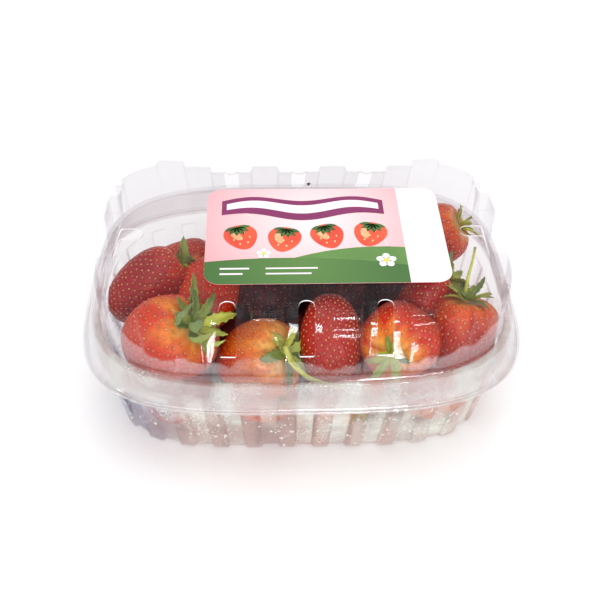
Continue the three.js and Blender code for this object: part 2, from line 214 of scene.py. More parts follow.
def finer(breaks, ramp_steps=6, flat_angle=0.05):
    """The breaks with rounded ramps between different values and plain steps between like ones."""
    stations = []
    closed = breaks + [(breaks[0][0] + 2 * math.pi, breaks[0][1])]
    for (a0, v0), (a1, v1) in zip(closed, closed[1:]):
        ramp = abs(v1 - v0) > 0.3
        steps = ramp_steps if ramp else max(1, math.ceil((a1 - a0) / flat_angle))
        for k in range(steps):
            share = k / steps
            stations.append((a0 + (a1 - a0) * share, v0 + (v1 - v0) * (eased(share) if ramp else share)))
    return stations


def filled(levels, step=1.6):
    """The levels with more between them, so that no stretch of wall is longer than step."""
    out = [levels[0]]
    for here, after in zip(levels, levels[1:]):
        run = math.hypot(after.y - here.y - after.inset + here.inset, after.z - here.z)
        parts = max(1, math.ceil(run / step)) if after.x else 1
        for k in range(1, parts + 1):
            out.append(Level(*(a + (b - a) * k / parts for a, b in zip(here, after))))
    return out


def rounded(levels, steps=5):
    """The levels with each corner that has a radius drawn as an arc."""
    out = []
    for k, here in enumerate(levels):
        if not here.round or k in (0, len(levels) - 1):
            out.append(here)
            continue
        point = np.array(here[:6])
        sides = []
        for near in (levels[k - 1], levels[k + 1]):
            step = np.array(near[:6]) - point
            run = math.hypot(step[1] - step[5], step[3])
            sides.append(point + step * min(here.round / run, 0.45))
        for j in range(steps + 1):
            t = j / steps
            curve = sides[0] * (1 - t) ** 2 + 2 * point * t * (1 - t) + sides[1] * t ** 2
            out.append(Level(*curve, 0.0))
    return out


def shell_point(at, station, sign):
    angle, value = station
    x, y = outline_point(at.x, at.y, at.squareness, angle, sign * value * at.pattern - at.inset)
    return Vector((x, y, at.z))


def wrapped_grid(columns, rows, place):
    """A grid bent by place(column, row), welded where its points meet."""
    bm = bmesh.new()
    bmesh.ops.create_grid(bm, x_segments=columns, y_segments=rows, size=0.5)
    for v in bm.verts:
        v.co = place(round((v.co.x + 0.5) * columns), round((v.co.y + 0.5) * rows))
    bmesh.ops.remove_doubles(bm, verts=bm.verts, dist=WELD)
    return bm


def shell_sheet(levels, stations, sign):
    """A sheet round the levels, one ring a level, closed where the last level has no width."""
    count = len(stations)

    def place(column, row):
        return shell_point(levels[row], stations[column % count], sign)

    bm = wrapped_grid(count, len(levels) - 1, place)
    bmesh.ops.recalc_face_normals(bm, faces=bm.faces)
    middle = min(bm.faces, key=lambda face: face.calc_center_median().xy.length)
    if middle.normal.z * sign > 0:
        bmesh.ops.reverse_faces(bm, faces=bm.faces)
    return bm


# Pieces and their meshes

def joined(parts):
    """One bmesh that holds all the parts."""
    whole = bmesh.new()
    for part in parts:
        mesh = bpy.data.meshes.new("part")
        part.to_mesh(mesh)
        part.free()
        whole.from_mesh(mesh)
        bpy.data.meshes.remove(mesh)
    return whole


def add_bead(bm, axes, place):
    """A small oval body with its three half axes."""
    body = Matrix(axes).transposed().to_4x4()
    body.translation = place
    bmesh.ops.create_icosphere(bm, subdivisions=1, radius=1.0, matrix=body)


def new_object(name, bm, material):
    """An object at the origin with the mesh of a bmesh and one material."""
    mesh = bpy.data.meshes.new(name)
    bm.to_mesh(mesh)
    bm.free()
    mesh.materials.append(material)
    made = bpy.data.objects.new(name, mesh)
    bpy.context.scene.collection.objects.link(made)
    return made


def finish_piece(name, bm, material, smooth=True):
    """The object of a bmesh in millimetres, riding on the part."""
    bmesh.ops.scale(bm, vec=(MM, MM, MM), verts=bm.verts)
    piece = new_object(name, bm, material)
    if smooth:
        piece.data.shade_smooth()
    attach(piece, BODY)
    return piece


def thicken(piece, thickness, offset):
    modifier = piece.modifiers.new("Wall", "SOLIDIFY")
    modifier.thickness = thickness
    modifier.offset = offset
    modifier.use_even_offset = False


def settle(piece):
    """Makes what the modifiers give the piece's own mesh."""
    graph = bpy.context.evaluated_depsgraph_get()
    mesh = bpy.data.meshes.new_from_object(piece.evaluated_get(graph))
    old = piece.data
    piece.modifiers.clear()
    piece.data = mesh
    bpy.data.meshes.remove(old)
    mesh.name = piece.name


def slot_cutter(start, end):
    """A prism with round ends, long along +Y from start to end."""
    radius = SLOT_WIDTH / 2
    bm = bmesh.new()
    bmesh.ops.create_circle(bm, cap_ends=True, segments=32, radius=radius)
    for v in bm.verts:
        v.co.y += end - radius if v.co.y > 0 else start + radius
        v.co.z = SLOT_Z
    made = bmesh.ops.extrude_face_region(bm, geom=bm.faces[:])
    top = [v for v in made["geom"] if isinstance(v, bmesh.types.BMVert)]
    bmesh.ops.translate(bm, vec=(0, 0, DECK_Z + 2 - SLOT_Z), verts=top)
    bmesh.ops.recalc_face_normals(bm, faces=bm.faces)
    return bm


def all_slot_cutters():
    cutters = []
    for side in (0, math.pi):
        turn = Matrix.Rotation(side, 4, "Z")
        for k in (-1, 0, 1):
            bm = slot_cutter(SLOT_TOP_Y, SLOT_FOOT_Y)
            bm.transform(turn @ Matrix.Translation((k * SLOT_PITCH, 0, 0)))
            cutters.append(bm)
        bm = slot_cutter(END_SLOT_TOP_X, END_SLOT_FOOT_X)
        bm.transform(turn @ Matrix.Rotation(math.pi / 2, 4, "Z"))
        cutters.append(bm)
    return joined(cutters)


def cut_slots(piece, rim):
    """Cuts the vent slots; their cut edges take the material rim, pale and opaque as a painted highlight."""
    bm = all_slot_cutters()
    bmesh.ops.scale(bm, vec=(MM, MM, MM), verts=bm.verts)
    cutter = new_object("cutter", bm, rim)
    modifier = piece.modifiers.new("Slots", "BOOLEAN")
    modifier.operation = "DIFFERENCE"
    modifier.solver = "EXACT"
    modifier.material_mode = "TRANSFER"
    modifier.object = cutter
    settle(piece)
    mesh = cutter.data
    bpy.data.objects.remove(cutter)
    bpy.data.meshes.remove(mesh)


# Materials

def new_material(name):
    material = bpy.data.materials.new(name)
    material.use_nodes = True
    tree = material.node_tree
    tree.nodes.clear()
    return material, tree


def feed(tree, socket, value):
    """Links the socket to an output, or sets it to a plain value."""
    if isinstance(value, bpy.types.NodeSocket):
        tree.links.new(value, socket)
    else:
        socket.default_value = value


def add(tree, kind, **values):
    """A node with its properties and inputs set; an input's name has underscores for spaces."""
    node = tree.nodes.new(kind)
    for name, value in values.items():
        label = name.replace("_", " ")
        if label in node.inputs:
            feed(tree, node.inputs[label], value)
        else:
            setattr(node, name, value)
    return node


def principled(tree, **values):
    return add(tree, "ShaderNodeBsdfPrincipled", **values)


def show(tree, shader):
    add(tree, "ShaderNodeOutputMaterial", Surface=shader.outputs[0])


def attribute(tree, name, output="Color"):
    return add(tree, "ShaderNodeAttribute", attribute_name=name).outputs[output]


def place_of(tree):
    return add(tree, "ShaderNodeTexCoord").outputs["Object"]


def place_axis(tree, axis):
    return add(tree, "ShaderNodeSeparateXYZ", Vector=place_of(tree)).outputs[axis]


def noise_at(tree, scale, detail=4.0):
    return add(tree, "ShaderNodeTexNoise", Scale=scale, Detail=detail, Vector=place_of(tree)).outputs["Fac"]


def facing(tree):
    """0 where a surface faces the eye, 1 where it is seen edge on."""
    return add(tree, "ShaderNodeLayerWeight", Blend=0.5).outputs["Facing"]


def spread(tree, source, low, high, out_low=0.0, out_high=1.0):
    """Source from low to high, spread over out_low to out_high."""
    return add(tree, "ShaderNodeMapRange", Value=source, From_Min=low, From_Max=high,
               To_Min=out_low, To_Max=out_high).outputs["Result"]


def blend(tree, share, first, second):
    """A mix of two colours, each an output or three numbers, by share."""
    node = add(tree, "ShaderNodeMix", data_type="RGBA")
    feed(tree, node.inputs[0], share)
    for socket, value in ((node.inputs[6], first), (node.inputs[7], second)):
        feed(tree, socket, value if isinstance(value, bpy.types.NodeSocket) else (*value, 1.0))
    return node.outputs[2]


def grained(tree, scale, first, second, low=0.3, high=0.7):
    """Two colours mingled by noise."""
    return blend(tree, spread(tree, noise_at(tree, scale), low, high), first, second)


def calculate(tree, operation, first, second=0.0):
    node = add(tree, "ShaderNodeMath", operation=operation)
    feed(tree, node.inputs[0], first)
    feed(tree, node.inputs[1], second)
    return node.outputs[0]


def product(tree, *factors):
    return reduce(lambda first, second: calculate(tree, "MULTIPLY", first, second), factors)


def total(tree, *parts):
    return reduce(lambda first, second: calculate(tree, "ADD", first, second), parts)


def clamped(tree, share):
    return add(tree, "ShaderNodeClamp", Value=share).outputs["Result"]


def bumped(tree, height, strength, distance):
    return add(tree, "ShaderNodeBump", Strength=strength, Distance=distance, Height=height).outputs["Normal"]


def film_shader(tree, surface, share, face_tint, edge_tint):
    """Clear film: what lies behind shows through a tint that deepens edge on, and share shows the surface."""
    depth = calculate(tree, "POWER", facing(tree), 3.0)
    clear = add(tree, "ShaderNodeBsdfTransparent", Color=blend(tree, depth, face_tint, edge_tint))
    mix = add(tree, "ShaderNodeMixShader")
    for socket, value in zip(mix.inputs, (share, clear.outputs[0], surface.outputs[0])):
        feed(tree, socket, value)
    show(tree, mix)


def mirror_share(tree):
    """How much a thin clear film mirrors, the same on both its faces: little face on, much edge on."""
    return spread(tree, calculate(tree, "POWER", facing(tree), 4.5), 0.0, 1.0, 0.013, 0.42)


def milky_zones(tree):
    """Where the lid's front mirrors the floor: its wall below a wavy line, and its skirt."""
    height = place_axis(tree, "Z")
    aside = calculate(tree, "ABSOLUTE", place_axis(tree, "X"))
    wavy = spread(tree, noise_at(tree, 60.0, 3.0), 0.3, 0.7, -0.003, 0.003)
    rise = spread(tree, aside, 0.034, 0.060, 0.0, MILKY_RISE * MM)
    line = calculate(tree, "SUBTRACT", total(tree, height, wavy), rise)
    front = spread(tree, place_axis(tree, "Y"), -0.012, 0.008, 1.0, 0.0)
    strength = product(tree, spread(tree, aside, 0.022, 0.036, 0.35, 1.0), front)
    foot = WALL_FOOT_Z * MM
    soft = 0.0006
    below = product(tree, spread(tree, line, MILKY_LINE_Z * MM, MILKY_END_Z * MM, 1.0, 0.0), strength)
    skirt = product(tree, spread(tree, height, foot - soft, foot, 1.0, 0.0), front)
    wall = product(tree, below, spread(tree, height, foot, foot + soft))
    return wall, skirt


def lid_material(look):
    """Thin glossy film that mirrors the lights, milky low on the wall."""
    material, tree = new_material("lid_film")
    wall, skirt = milky_zones(tree)
    surface = principled(
        tree, Metallic=0.75,
        Base_Color=grained(tree, 70.0, look.film_tint, (0.88, 0.88, 0.9)),
        Normal=bumped(tree, noise_at(tree, 50.0, 1.0), 0.08, 0.001),
        Roughness=spread(tree, wall, 0.0, 0.3, 0.05, 0.5),
    )
    veil = product(tree, total(tree, wall, product(tree, skirt, 1.4)), look.veil)
    share = clamped(tree, total(tree, veil, mirror_share(tree)))
    film_shader(tree, surface, share, look.face_tint, look.edge_tint)
    return material


def tray_material(look):
    """The same film misted inside, most in the furrows, with fine beads in the thickest patches."""
    material, tree = new_material("tray_film")
    held = attribute(tree, "wet", "Fac")
    cool = total(tree, held, spread(tree, noise_at(tree, 32.0, 3.0), 0.35, 0.65, -0.42, 0.28))
    colour = blend(tree, spread(tree, cool, 0.65, 1.0), look.mist_warm, look.mist_cool)
    # painted shade: the wall's lower left end is tinted blue-grey
    low = spread(tree, place_axis(tree, "Z"), 0.024, 0.031, 1.0, 0.0)
    shaded_end = product(tree, low, spread(tree, place_axis(tree, "X"), -0.060, -0.036, 0.95, 0.0))
    surface = principled(
        tree, Roughness=0.16, IOR=1.55, Specular_IOR_Level=1.0,
        Base_Color=blend(tree, shaded_end, colour, (0.20, 0.25, 0.45)),
        Normal=bumped(tree, noise_at(tree, 900.0, 3.0), 0.25, 0.0004),
    )
    cloud = product(tree, spread(tree, noise_at(tree, 55.0, 5.0), 0.38, 0.64, 0.16, 1.05), held, look.mist)
    beads = spread(tree, noise_at(tree, 1500.0, 2.0), 0.56, 0.66, 0.0, 0.55)
    thick = spread(tree, noise_at(tree, 80.0, 3.0), 0.5, 0.62)
    share = clamped(tree, total(tree, cloud, product(tree, beads, thick, held), mirror_share(tree)))
    film_shader(tree, surface, share, look.face_tint, look.edge_tint)
    return material


def water_material(name, tones, shares, tints, **finish):
    """Beads of water; tones colour their surface, and shares and tints hold a value face on and one edge on.
    """
    material, tree = new_material(name)
    surface = principled(tree, Base_Color=grained(tree, 300.0, *tones), **finish)
    film_shader(tree, surface, spread(tree, facing(tree), 0.0, 1.0, *shares), *tints)
    return material


def fruit_material(name, coat):
    """Fruit, the moister the more coat it has: the colour comes from the mesh, with mottling and pores."""
    material, tree = new_material(name)
    mottle = spread(tree, noise_at(tree, 420.0, 5.0), 0.4, 0.72, 0.0, 0.3)
    pale = spread(tree, noise_at(tree, 190.0, 4.0), 0.56, 0.8, 0.0, 0.16)
    darker = blend(tree, mottle, attribute(tree, "flesh"), (0.24, 0.004, 0.005))
    show(tree, principled(
        tree, Roughness=0.45, Specular_IOR_Level=0.2, Coat_Weight=coat, Coat_Roughness=0.08,
        Subsurface_Weight=0.05, Subsurface_Radius=(1.0, 0.2, 0.08), Subsurface_Scale=0.002,
        Base_Color=blend(tree, pale, darker, (0.90, 0.16, 0.03)),
        Coat_Normal=bumped(tree, noise_at(tree, 480.0, 3.0), 0.45, 0.0008),
        Normal=bumped(tree, noise_at(tree, 900.0, 3.0), 0.2, 0.0004),
    ))
    return material


def speckled_material(name, first, second, scale, roughness, coat=0.0, bump=0.15):
    """An opaque surface of two mingled colours with a fine relief."""
    material, tree = new_material(name)
    show(tree, principled(
        tree, Roughness=roughness, Coat_Weight=coat,
        Base_Color=grained(tree, scale, first, second, 0.35, 0.65),
        Normal=bumped(tree, noise_at(tree, scale * 4), bump, 0.0004),
    ))
    return material


def leaf_material():
    """Green leaf: the colour comes from the mesh, with darker patches."""
    material, tree = new_material("calyx_green")
    patches = spread(tree, noise_at(tree, 260.0), 0.4, 0.7, 0.0, 0.4)
    show(tree, principled(
        tree, Roughness=0.5, Subsurface_Weight=0.05, Subsurface_Scale=0.001,
        Base_Color=blend(tree, patches, attribute(tree, "leaf"), (0.05, 0.09, 0.02)),
        Normal=bumped(tree, noise_at(tree, 700.0), 0.3, 0.0004),
    ))
    return material


def glow_material(name, edge, middle, centre, reach):
    """Printed film that is paler round one place."""
    material, tree = new_material(name)
    away = add(tree, "ShaderNodeVectorMath", operation="DISTANCE")
    feed(tree, away.inputs[0], place_of(tree))
    feed(tree, away.inputs[1], centre)
    share = spread(tree, away.outputs["Value"], 0.0, reach, 1.0, 0.0)
    ink = spread(tree, noise_at(tree, 1500.0, 2.0), 0.3, 0.7, -0.03, 0.03)
    show(tree, principled(
        tree, Roughness=0.32, Coat_Weight=0.2,
        Base_Color=blend(tree, total(tree, share, ink), edge, middle),
        Normal=bumped(tree, noise_at(tree, 60.0, 2.0), 0.08, 0.001),
    ))
    return material


def ink_material(name, first, second, scale=200.0):
    return speckled_material("label_" + name, first, second, scale, 0.3, 0.2, 0.03)


# The two shells

def lid_levels():
    deck_x = DECK_LENGTH / 2
    deck_y = DECK_DEPTH / 2
    lip_x = FLANGE_LENGTH / 2
    lip_y = FLANGE_DEPTH / 2
    top_x = lip_x - LIP_WIDTH - SKIRT_TAPER_X
    top_y = lip_y - LIP_WIDTH - SKIRT_TAPER_Y
    lip_z = FLANGE_Z + FILM
    levels = [
        level(lip_x, lip_y, FLANGE_SQUARENESS, FLANGE_Z),
        level(lip_x, lip_y, FLANGE_SQUARENESS, lip_z + 0.4, round=0.4),
        level(lip_x - LIP_WIDTH, lip_y - LIP_WIDTH, FLANGE_SQUARENESS, lip_z + 0.4, round=0.5),
        level(top_x, top_y, FLANGE_SQUARENESS, LEDGE_Z, round=1.4),
        level(top_x - 1.4, top_y - 1.6, FLANGE_SQUARENESS, LEDGE_Z - 0.5, round=0.6),
        level(deck_x + 0.4, deck_y + 5.4, FOOT_SQUARENESS, LEDGE_Z - 0.3, 0.06, round=0.9),
        level(deck_x + 0.5, deck_y + 2.3, WAIST_SQUARENESS, WAIST_Z, 0.6, round=3.0),
        level(deck_x + 0.4, deck_y + 1.6, 4.4, CROWN_Z, 0.82, round=4.0),
        level(deck_x, deck_y, DECK_SQUARENESS, DECK_Z, 1.0, round=1.4),
        level(deck_x, deck_y, DECK_SQUARENESS, DECK_Z, 1.0, inset=2.0),
        level(deck_x, deck_y, DECK_SQUARENESS, DECK_Z, 0.0, inset=9.4),
        level(deck_x * 0.6, deck_y * 0.5, DECK_SQUARENESS, DECK_Z, 0.0),
        level(0, 0, DECK_SQUARENESS, DECK_Z, 0.0),
    ]
    return filled(rounded(levels))


def tray_levels():
    lip_x = FLANGE_LENGTH / 2 - 0.6
    lip_y = FLANGE_DEPTH / 2 - 0.6
    rim_x = lip_x - 2.0
    rim_y = lip_y - 2.0
    top_x = rim_x - SKIRT_TAPER_X
    top_y = rim_y - SKIRT_TAPER_Y
    foot_x = TRAY_BOTTOM_LENGTH / 2
    foot_y = TRAY_BOTTOM_DEPTH / 2
    wall_x = foot_x + TRAY_FLARE_X
    wall_y = foot_y + TRAY_FLARE_Y
    levels = [
        level(lip_x, lip_y, FLANGE_SQUARENESS, TRAY_FLANGE_Z),
        level(rim_x, rim_y, FLANGE_SQUARENESS, TRAY_FLANGE_Z, round=0.3),
        level(top_x, top_y, FLANGE_SQUARENESS, RIM_TOP_Z, round=0.3),
        level(top_x - 0.8, top_y - 0.8, FLANGE_SQUARENESS, RIM_TOP_Z, round=0.3),
        level(rim_x - 0.8, rim_y - 0.8, FLANGE_SQUARENESS, TRAY_FLANGE_Z + 0.6, round=0.5),
        level(wall_x + 0.5, wall_y + 0.5, TRAY_TOP_SQUARENESS, TRAY_FLANGE_Z + 0.3, round=0.8),
        level(wall_x + 0.2, wall_y + 0.2, TRAY_TOP_SQUARENESS, FLUTE_TOP_Z + 1.2, 0.0, round=0.6),
        level(wall_x, wall_y, TRAY_TOP_SQUARENESS, FLUTE_TOP_Z, 1.0, round=1.0),
        level(foot_x, foot_y, TRAY_SQUARENESS, 0.0, 1.0, round=2.0),
        level(foot_x, foot_y, TRAY_SQUARENESS, 0.0, 0.5, inset=5.0),
        level(foot_x * 0.5, foot_y * 0.5, TRAY_SQUARENESS, 0.0, 0.0),
        level(0, 0, TRAY_SQUARENESS, 0.0, 0.0),
    ]
    return rounded(levels)


def tray_stations():
    """Angles round the tray with a flute's share, 1 on its crest and 0 between flutes."""
    steps = 1440
    half_x = TRAY_BOTTOM_LENGTH / 2
    half_y = TRAY_BOTTOM_DEPTH / 2
    angles = [2 * math.pi * k / steps for k in range(steps + 1)]
    points = [Vector(outline_point(half_x, half_y, TRAY_SQUARENESS, angle)) for angle in angles]
    lengths = [0.0]
    for before, here in zip(points, points[1:]):
        lengths.append(lengths[-1] + (here - before).length)
    pitch = lengths[-1] / FLUTE_COUNT
    breaks = []
    for f in range(FLUTE_COUNT):
        for offset, value in ((-FLUTE_HALF_FOOT, 0.0), (-FLUTE_HALF_CREST, 1.0),
                              (FLUTE_HALF_CREST, 1.0), (FLUTE_HALF_FOOT, 0.0)):
            length = (f + 0.5 + offset) * pitch
            breaks.append((float(np.interp(length, lengths, angles)), FLUTE_OUT * value))
    return finer(breaks, ramp_steps=4, flat_angle=0.03)


def flute_heights():
    """A function that tells how far the flutes stand out at an angle."""
    angles, heights = zip(*tray_stations())
    return lambda angle: float(np.interp(angle, angles, heights, period=2 * math.pi))


def mark_mist(bm):
    """Marks how much mist each place holds: most between the front flutes, little behind and below."""
    flute_at = flute_heights()
    layer = bm.verts.layers.float.new("wet")
    for v in bm.verts:
        angle = unit_square_angle(v.co.x, v.co.y, v.co.z)
        crest = flute_at(angle) / FLUTE_OUT
        front = min(max((MIST_BACK_Y - v.co.y) / MIST_FADE, 0.0), 1.0)
        side = 4 * crest * (1 - crest)
        held = 1 - 0.3 * crest - 0.6 * side if v.co.z < FLUTE_TOP_Z else 0.95 - 0.2 * crest
        v[layer] = held * (0.08 + 0.92 * front) if v.co.z > MIST_FOOT_Z else 0.1


def wall_level(z):
    """The tray wall's outline at a height."""
    share = min(max(z / FLUTE_TOP_Z, 0), 1)
    foot_x = TRAY_BOTTOM_LENGTH / 2
    foot_y = TRAY_BOTTOM_DEPTH / 2
    squareness = TRAY_SQUARENESS + (TRAY_TOP_SQUARENESS - TRAY_SQUARENESS) * share
    return level(foot_x + TRAY_FLARE_X * share, foot_y + TRAY_FLARE_Y * share, squareness, z, 1.0)


def unit_square_angle(x, y, z):
    """The angle that outline_point takes to reach a place on the tray wall."""
    wall = wall_level(z)
    return math.atan2(y / wall.y, x / wall.x) % (2 * math.pi)


def drop_on_wall(bm, angle, z, flute, size):
    """A bead on the inside of the tray wall, flat against it."""
    wall = wall_level(z)
    x, y = outline_point(wall.x, wall.y, wall.squareness, angle, flute - FILM - 0.05)
    inner_x, inner_y = outline_point(wall.x, wall.y, wall.squareness, angle, flute - FILM - 1)
    out = Vector((x - inner_x, y - inner_y, 0)).normalized()
    across = Vector((-out.y, out.x, 0))
    add_bead(bm, (across * size, Vector((0, 0, 1)) * size * 1.1, out * size * 0.45), (x, y, z))


# The room inside the shells

ROOM_GAP = 1.4
ROOM_SQUARENESS = 4.0


def room_levels():
    """Half length, half depth and height of the room for the fruit, from the bottom to the deck."""
    deck_x = DECK_LENGTH / 2 - ROOM_GAP
    deck_y = DECK_DEPTH / 2 - ROOM_GAP
    foot_x = TRAY_BOTTOM_LENGTH / 2 - ROOM_GAP
    foot_y = TRAY_BOTTOM_DEPTH / 2 - ROOM_GAP
    groove = DECK_DEPTH / 2 - GROOVE_Y
    return np.array([
        (foot_x, foot_y, 0.9),
        (foot_x + TRAY_FLARE_X, foot_y + TRAY_FLARE_Y, FLUTE_TOP_Z),
        (deck_x, deck_y + 5.2, LEDGE_Z),
        (deck_x - END_RECESS_INSET * 0.6, deck_y + 2.3 - groove * 0.6, WAIST_Z),
        (deck_x - END_RECESS_INSET - 1, deck_y - groove - 1, DECK_Z - 1.2),
    ])


ROOM = room_levels()


def kept_inside(points):
    """The points, with those outside the shells drawn in to the wall."""
    out = points.copy()
    out[:, 2] = np.clip(out[:, 2], ROOM[0, 2], ROOM[-1, 2])
    half_x = np.interp(out[:, 2], ROOM[:, 2], ROOM[:, 0])
    half_y = np.interp(out[:, 2], ROOM[:, 2], ROOM[:, 1])
    reach = (np.abs(out[:, 0] / half_x) ** ROOM_SQUARENESS + np.abs(out[:, 1] / half_y) ** ROOM_SQUARENESS)
    reach = np.maximum(reach ** (1 / ROOM_SQUARENESS), 1.0)
    out[:, :2] /= reach[:, None]
    return out


# Berries

DEEP = (0.36, 0.007, 0.006)
RED = (0.40, 0.008, 0.002)
SCARLET = (0.58, 0.036, 0.003)
ORANGE = (0.74, 0.12, 0.006)
AMBER = (0.84, 0.28, 0.014)
CREAM = (0.88, 0.60, 0.16)
# Near-black flesh: painted shade for the berries that lie in the label's shadow
SHADE = (0.030, 0.002, 0.007)
# Ripe colour, colour of its patches, colour near the calyx and how far down that reaches
KINDS = {
    "deep": (DEEP, (0.25, 0.005, 0.010), SCARLET, 0.9),
    "red": (RED, DEEP, SCARLET, 0.9),
    "scarlet": (SCARLET, RED, ORANGE, 1.0),
    "bright": (SCARLET, (0.60, 0.024, 0.003), AMBER, 0.86),
    "orange": (SCARLET, ORANGE, AMBER, 1.5),
    # painted shade: near-black berries that stand for the shadow under the label
    "shade": (SHADE, (0.012, 0.003, 0.014), (0.06, 0.004, 0.008), 0.5),
}

# The berries that show through the lid: middle, size, where the calyx points, colour, leaves and their length
SHOWN_BERRIES = {
    "big": Berry((-43.0, -25.5, 39.0), 29, 31, (0.64, -0.24, 0.70), "bright", 14, 13.5, 2),
    "front": Berry((-14.7, -29.0, 33.5), 26, 29, (0.68, -0.35, 0.61), "orange", 10, 12.0, 0),
    "middle": Berry((8.1, -28.0, 41.6), 20, 28, (0.03, -0.60, -0.80), "red", 0, 0.0, 0),
    "right": Berry((30.1, -27.5, 40.6), 25, 27, (-0.32, -0.84, 0.26), "bright", 8, 9.5, 0),
    "end": Berry((50.4, -22.5, 36.4), 24, 28, (0.12, 0.42, 0.90), "scarlet", 12, 9.5, 0),
    "dark": Berry((-50.4, -3.5, 41.4), 22, 30, (0.80, 0.45, 0.35), "deep", 7, 7.0, 0),
    "second": Berry((-31.7, -6.0, 38.9), 22, 27, (0.30, 0.80, 0.30), "bright", 7, 6.0, 0),
    "back_left": Berry((-38.6, 12.0, 35.6), 22, 25, (0.00, -0.80, 0.60), "red", 7, 13.0, 3),
    "back_right": Berry((46.4, 20.5, 41.6), 23, 26, (0.78, -0.12, 0.57), "scarlet", 8, 8.0, 0),
    "tucked": Berry((40.0, -10.0, 39.5), 22, 26, (0.70, 0.30, 0.60), "red", 9, 9.0, 0),
}
# Long stalks, from the calyx outwards
LONG_STALKS = (
    ((-6.5, -35.5, 46.0), (-4.0, -40.0, 43.0), (1.5, -43.2, 39.6), (10.0, -43.6, 36.6), (19.0, -43.0, 36.0)),
    ((51.4, -16.5, 49.5), (52.4, -13.0, 53.5), (54.0, -9.0, 57.0), (55.0, -5.5, 59.0)),
    ((55.6, 19.0, 48.0), (57.6, 18.4, 50.8), (59.0, 18.0, 52.6)),
)
STALK_RADII = (0.8, 0.5, 0.5)
UNDER_LABEL_XS = (-14, 10, 32)
UNDER_LABEL_YS = (-3, 19)
UNDER_LABEL_Z = 33
LOWER_XS = (-43, -14.5, 14.5, 43)
LOWER_YS = (-24, 0, 24)
LOWER_Z = 15
SCATTER = 3.0
BERRY_FULLNESS = 0.8
BERRY_TAPER = 0.15
BERRY_WIDEST = 1.01
BERRY_FLATNESS = 0.95
HOLLOW_DEPTH = 2.4
HOLLOW_REACH = 0.42
SEEDS_FROM = 0.1
SEEDS_TO = 2.72
SEED_SIZE = (0.24, 0.38, 0.22)
SEED_DENT = 0.42
SEED_DEPTH = 0.38
SEEDS_AT_ONCE = 64
BEAD_COUNT = 70
BERRY_DRAW = 11
SHOWN_GRID = (190, 124)
UNDER_GRID = (90, 60)
SHADED_GRID = (72, 48)


def hidden_berries(draw):
    """The berries of the upper layer under the label and those of the lower layer."""
    berries = []
    for y in UNDER_LABEL_YS:
        for x in UNDER_LABEL_XS:
            at = (x + SCATTER * draw.random(), y + SCATTER * draw.random(),
                  UNDER_LABEL_Z + SCATTER * draw.random())
            first_row = y == UNDER_LABEL_YS[0]
            towards = (draw.uniform(-0.5, 0.5), draw.uniform(0.2, 0.8), -0.8) if first_row else leaning(draw)
            # The front row under the label is painted near-black as shade
            kind = "shade" if first_row else draw.choice(("red", "scarlet"))
            berries.append(Berry(at, draw.uniform(24, 27), draw.uniform(27, 30), towards, kind, 7, 6.0, 0))
    for y in LOWER_YS:
        for x in LOWER_XS:
            at = (x + SCATTER * (draw.random() - 0.5), y + SCATTER * (draw.random() - 0.5),
                  LOWER_Z + SCATTER * draw.random())
            berries.append(Berry(at, draw.uniform(24, 28), draw.uniform(27, 31), leaning(draw),
                                 draw.choice(("red", "scarlet", "bright", "orange")), 5, 8.0, 2))
    return berries


def leaning(draw):
    """A random way to point."""
    return tuple(draw.uniform(-1, 1) for _ in range(3))


def berry_turn(berry):
    """Rotation from the berry's own axis to the way its calyx points, then its place."""
    turn = Vector((0, 0, 1)).rotation_difference(Vector(berry.towards).normalized())
    return Matrix.Translation(berry.at) @ turn.to_matrix().to_4x4()


def berry_surface(berry, theta, phi, lumps):
    """Points of the berry's own surface: phi 0 at the tip, pi at the calyx."""
    ring = np.sin(np.clip(phi, 0, math.pi)) ** BERRY_FULLNESS * (1 - BERRY_TAPER * np.cos(phi)) / BERRY_WIDEST
    for order, (size, start) in enumerate(lumps, 2):
        ring = ring * (1 + size * np.sin(order * theta + start + 0.8 * phi) * np.sin(phi))
    hollow = HOLLOW_DEPTH * np.exp(-((math.pi - phi) / HOLLOW_REACH) ** 2)
    z = -berry.length / 2 * np.cos(phi) - hollow
    x = berry.width / 2 * ring * np.cos(theta)
    y = berry.width / 2 * ring * np.sin(theta) * BERRY_FLATNESS
    return np.stack([x, y, z], -1)


def seed_places(count, draw):
    """Angles of the seeds, spread evenly by the golden angle with a little scatter, clear of both ends."""
    turn = math.pi * (3 - math.sqrt(5))
    theta = []
    phi = []
    for k in range(count):
        angle = math.acos(1 - 2 * (k + 0.5) / count)
        if SEEDS_FROM < angle < SEEDS_TO:
            theta.append((k * turn) % (2 * math.pi) + draw.uniform(-0.04, 0.04))
            phi.append(angle + draw.uniform(-0.025, 0.025))
    return np.array(theta), np.array(phi)


def transformed(points, matrix):
    turn = np.array(matrix)
    return points @ turn[:3, :3].T + turn[:3, 3]


def dimple_depths(surface, seeds):
    """How deep each point lies in the dimple of its nearest seed, from 0 to 1."""
    nearest = np.full(len(surface), 1e9)
    for start in range(0, len(seeds), SEEDS_AT_ONCE):
        gap = surface[:, None, :] - seeds[None, start:start + SEEDS_AT_ONCE, :]
        nearest = np.minimum(nearest, (gap ** 2).sum(2).min(1))
    return np.exp(-nearest / (2 * SEED_DENT ** 2))


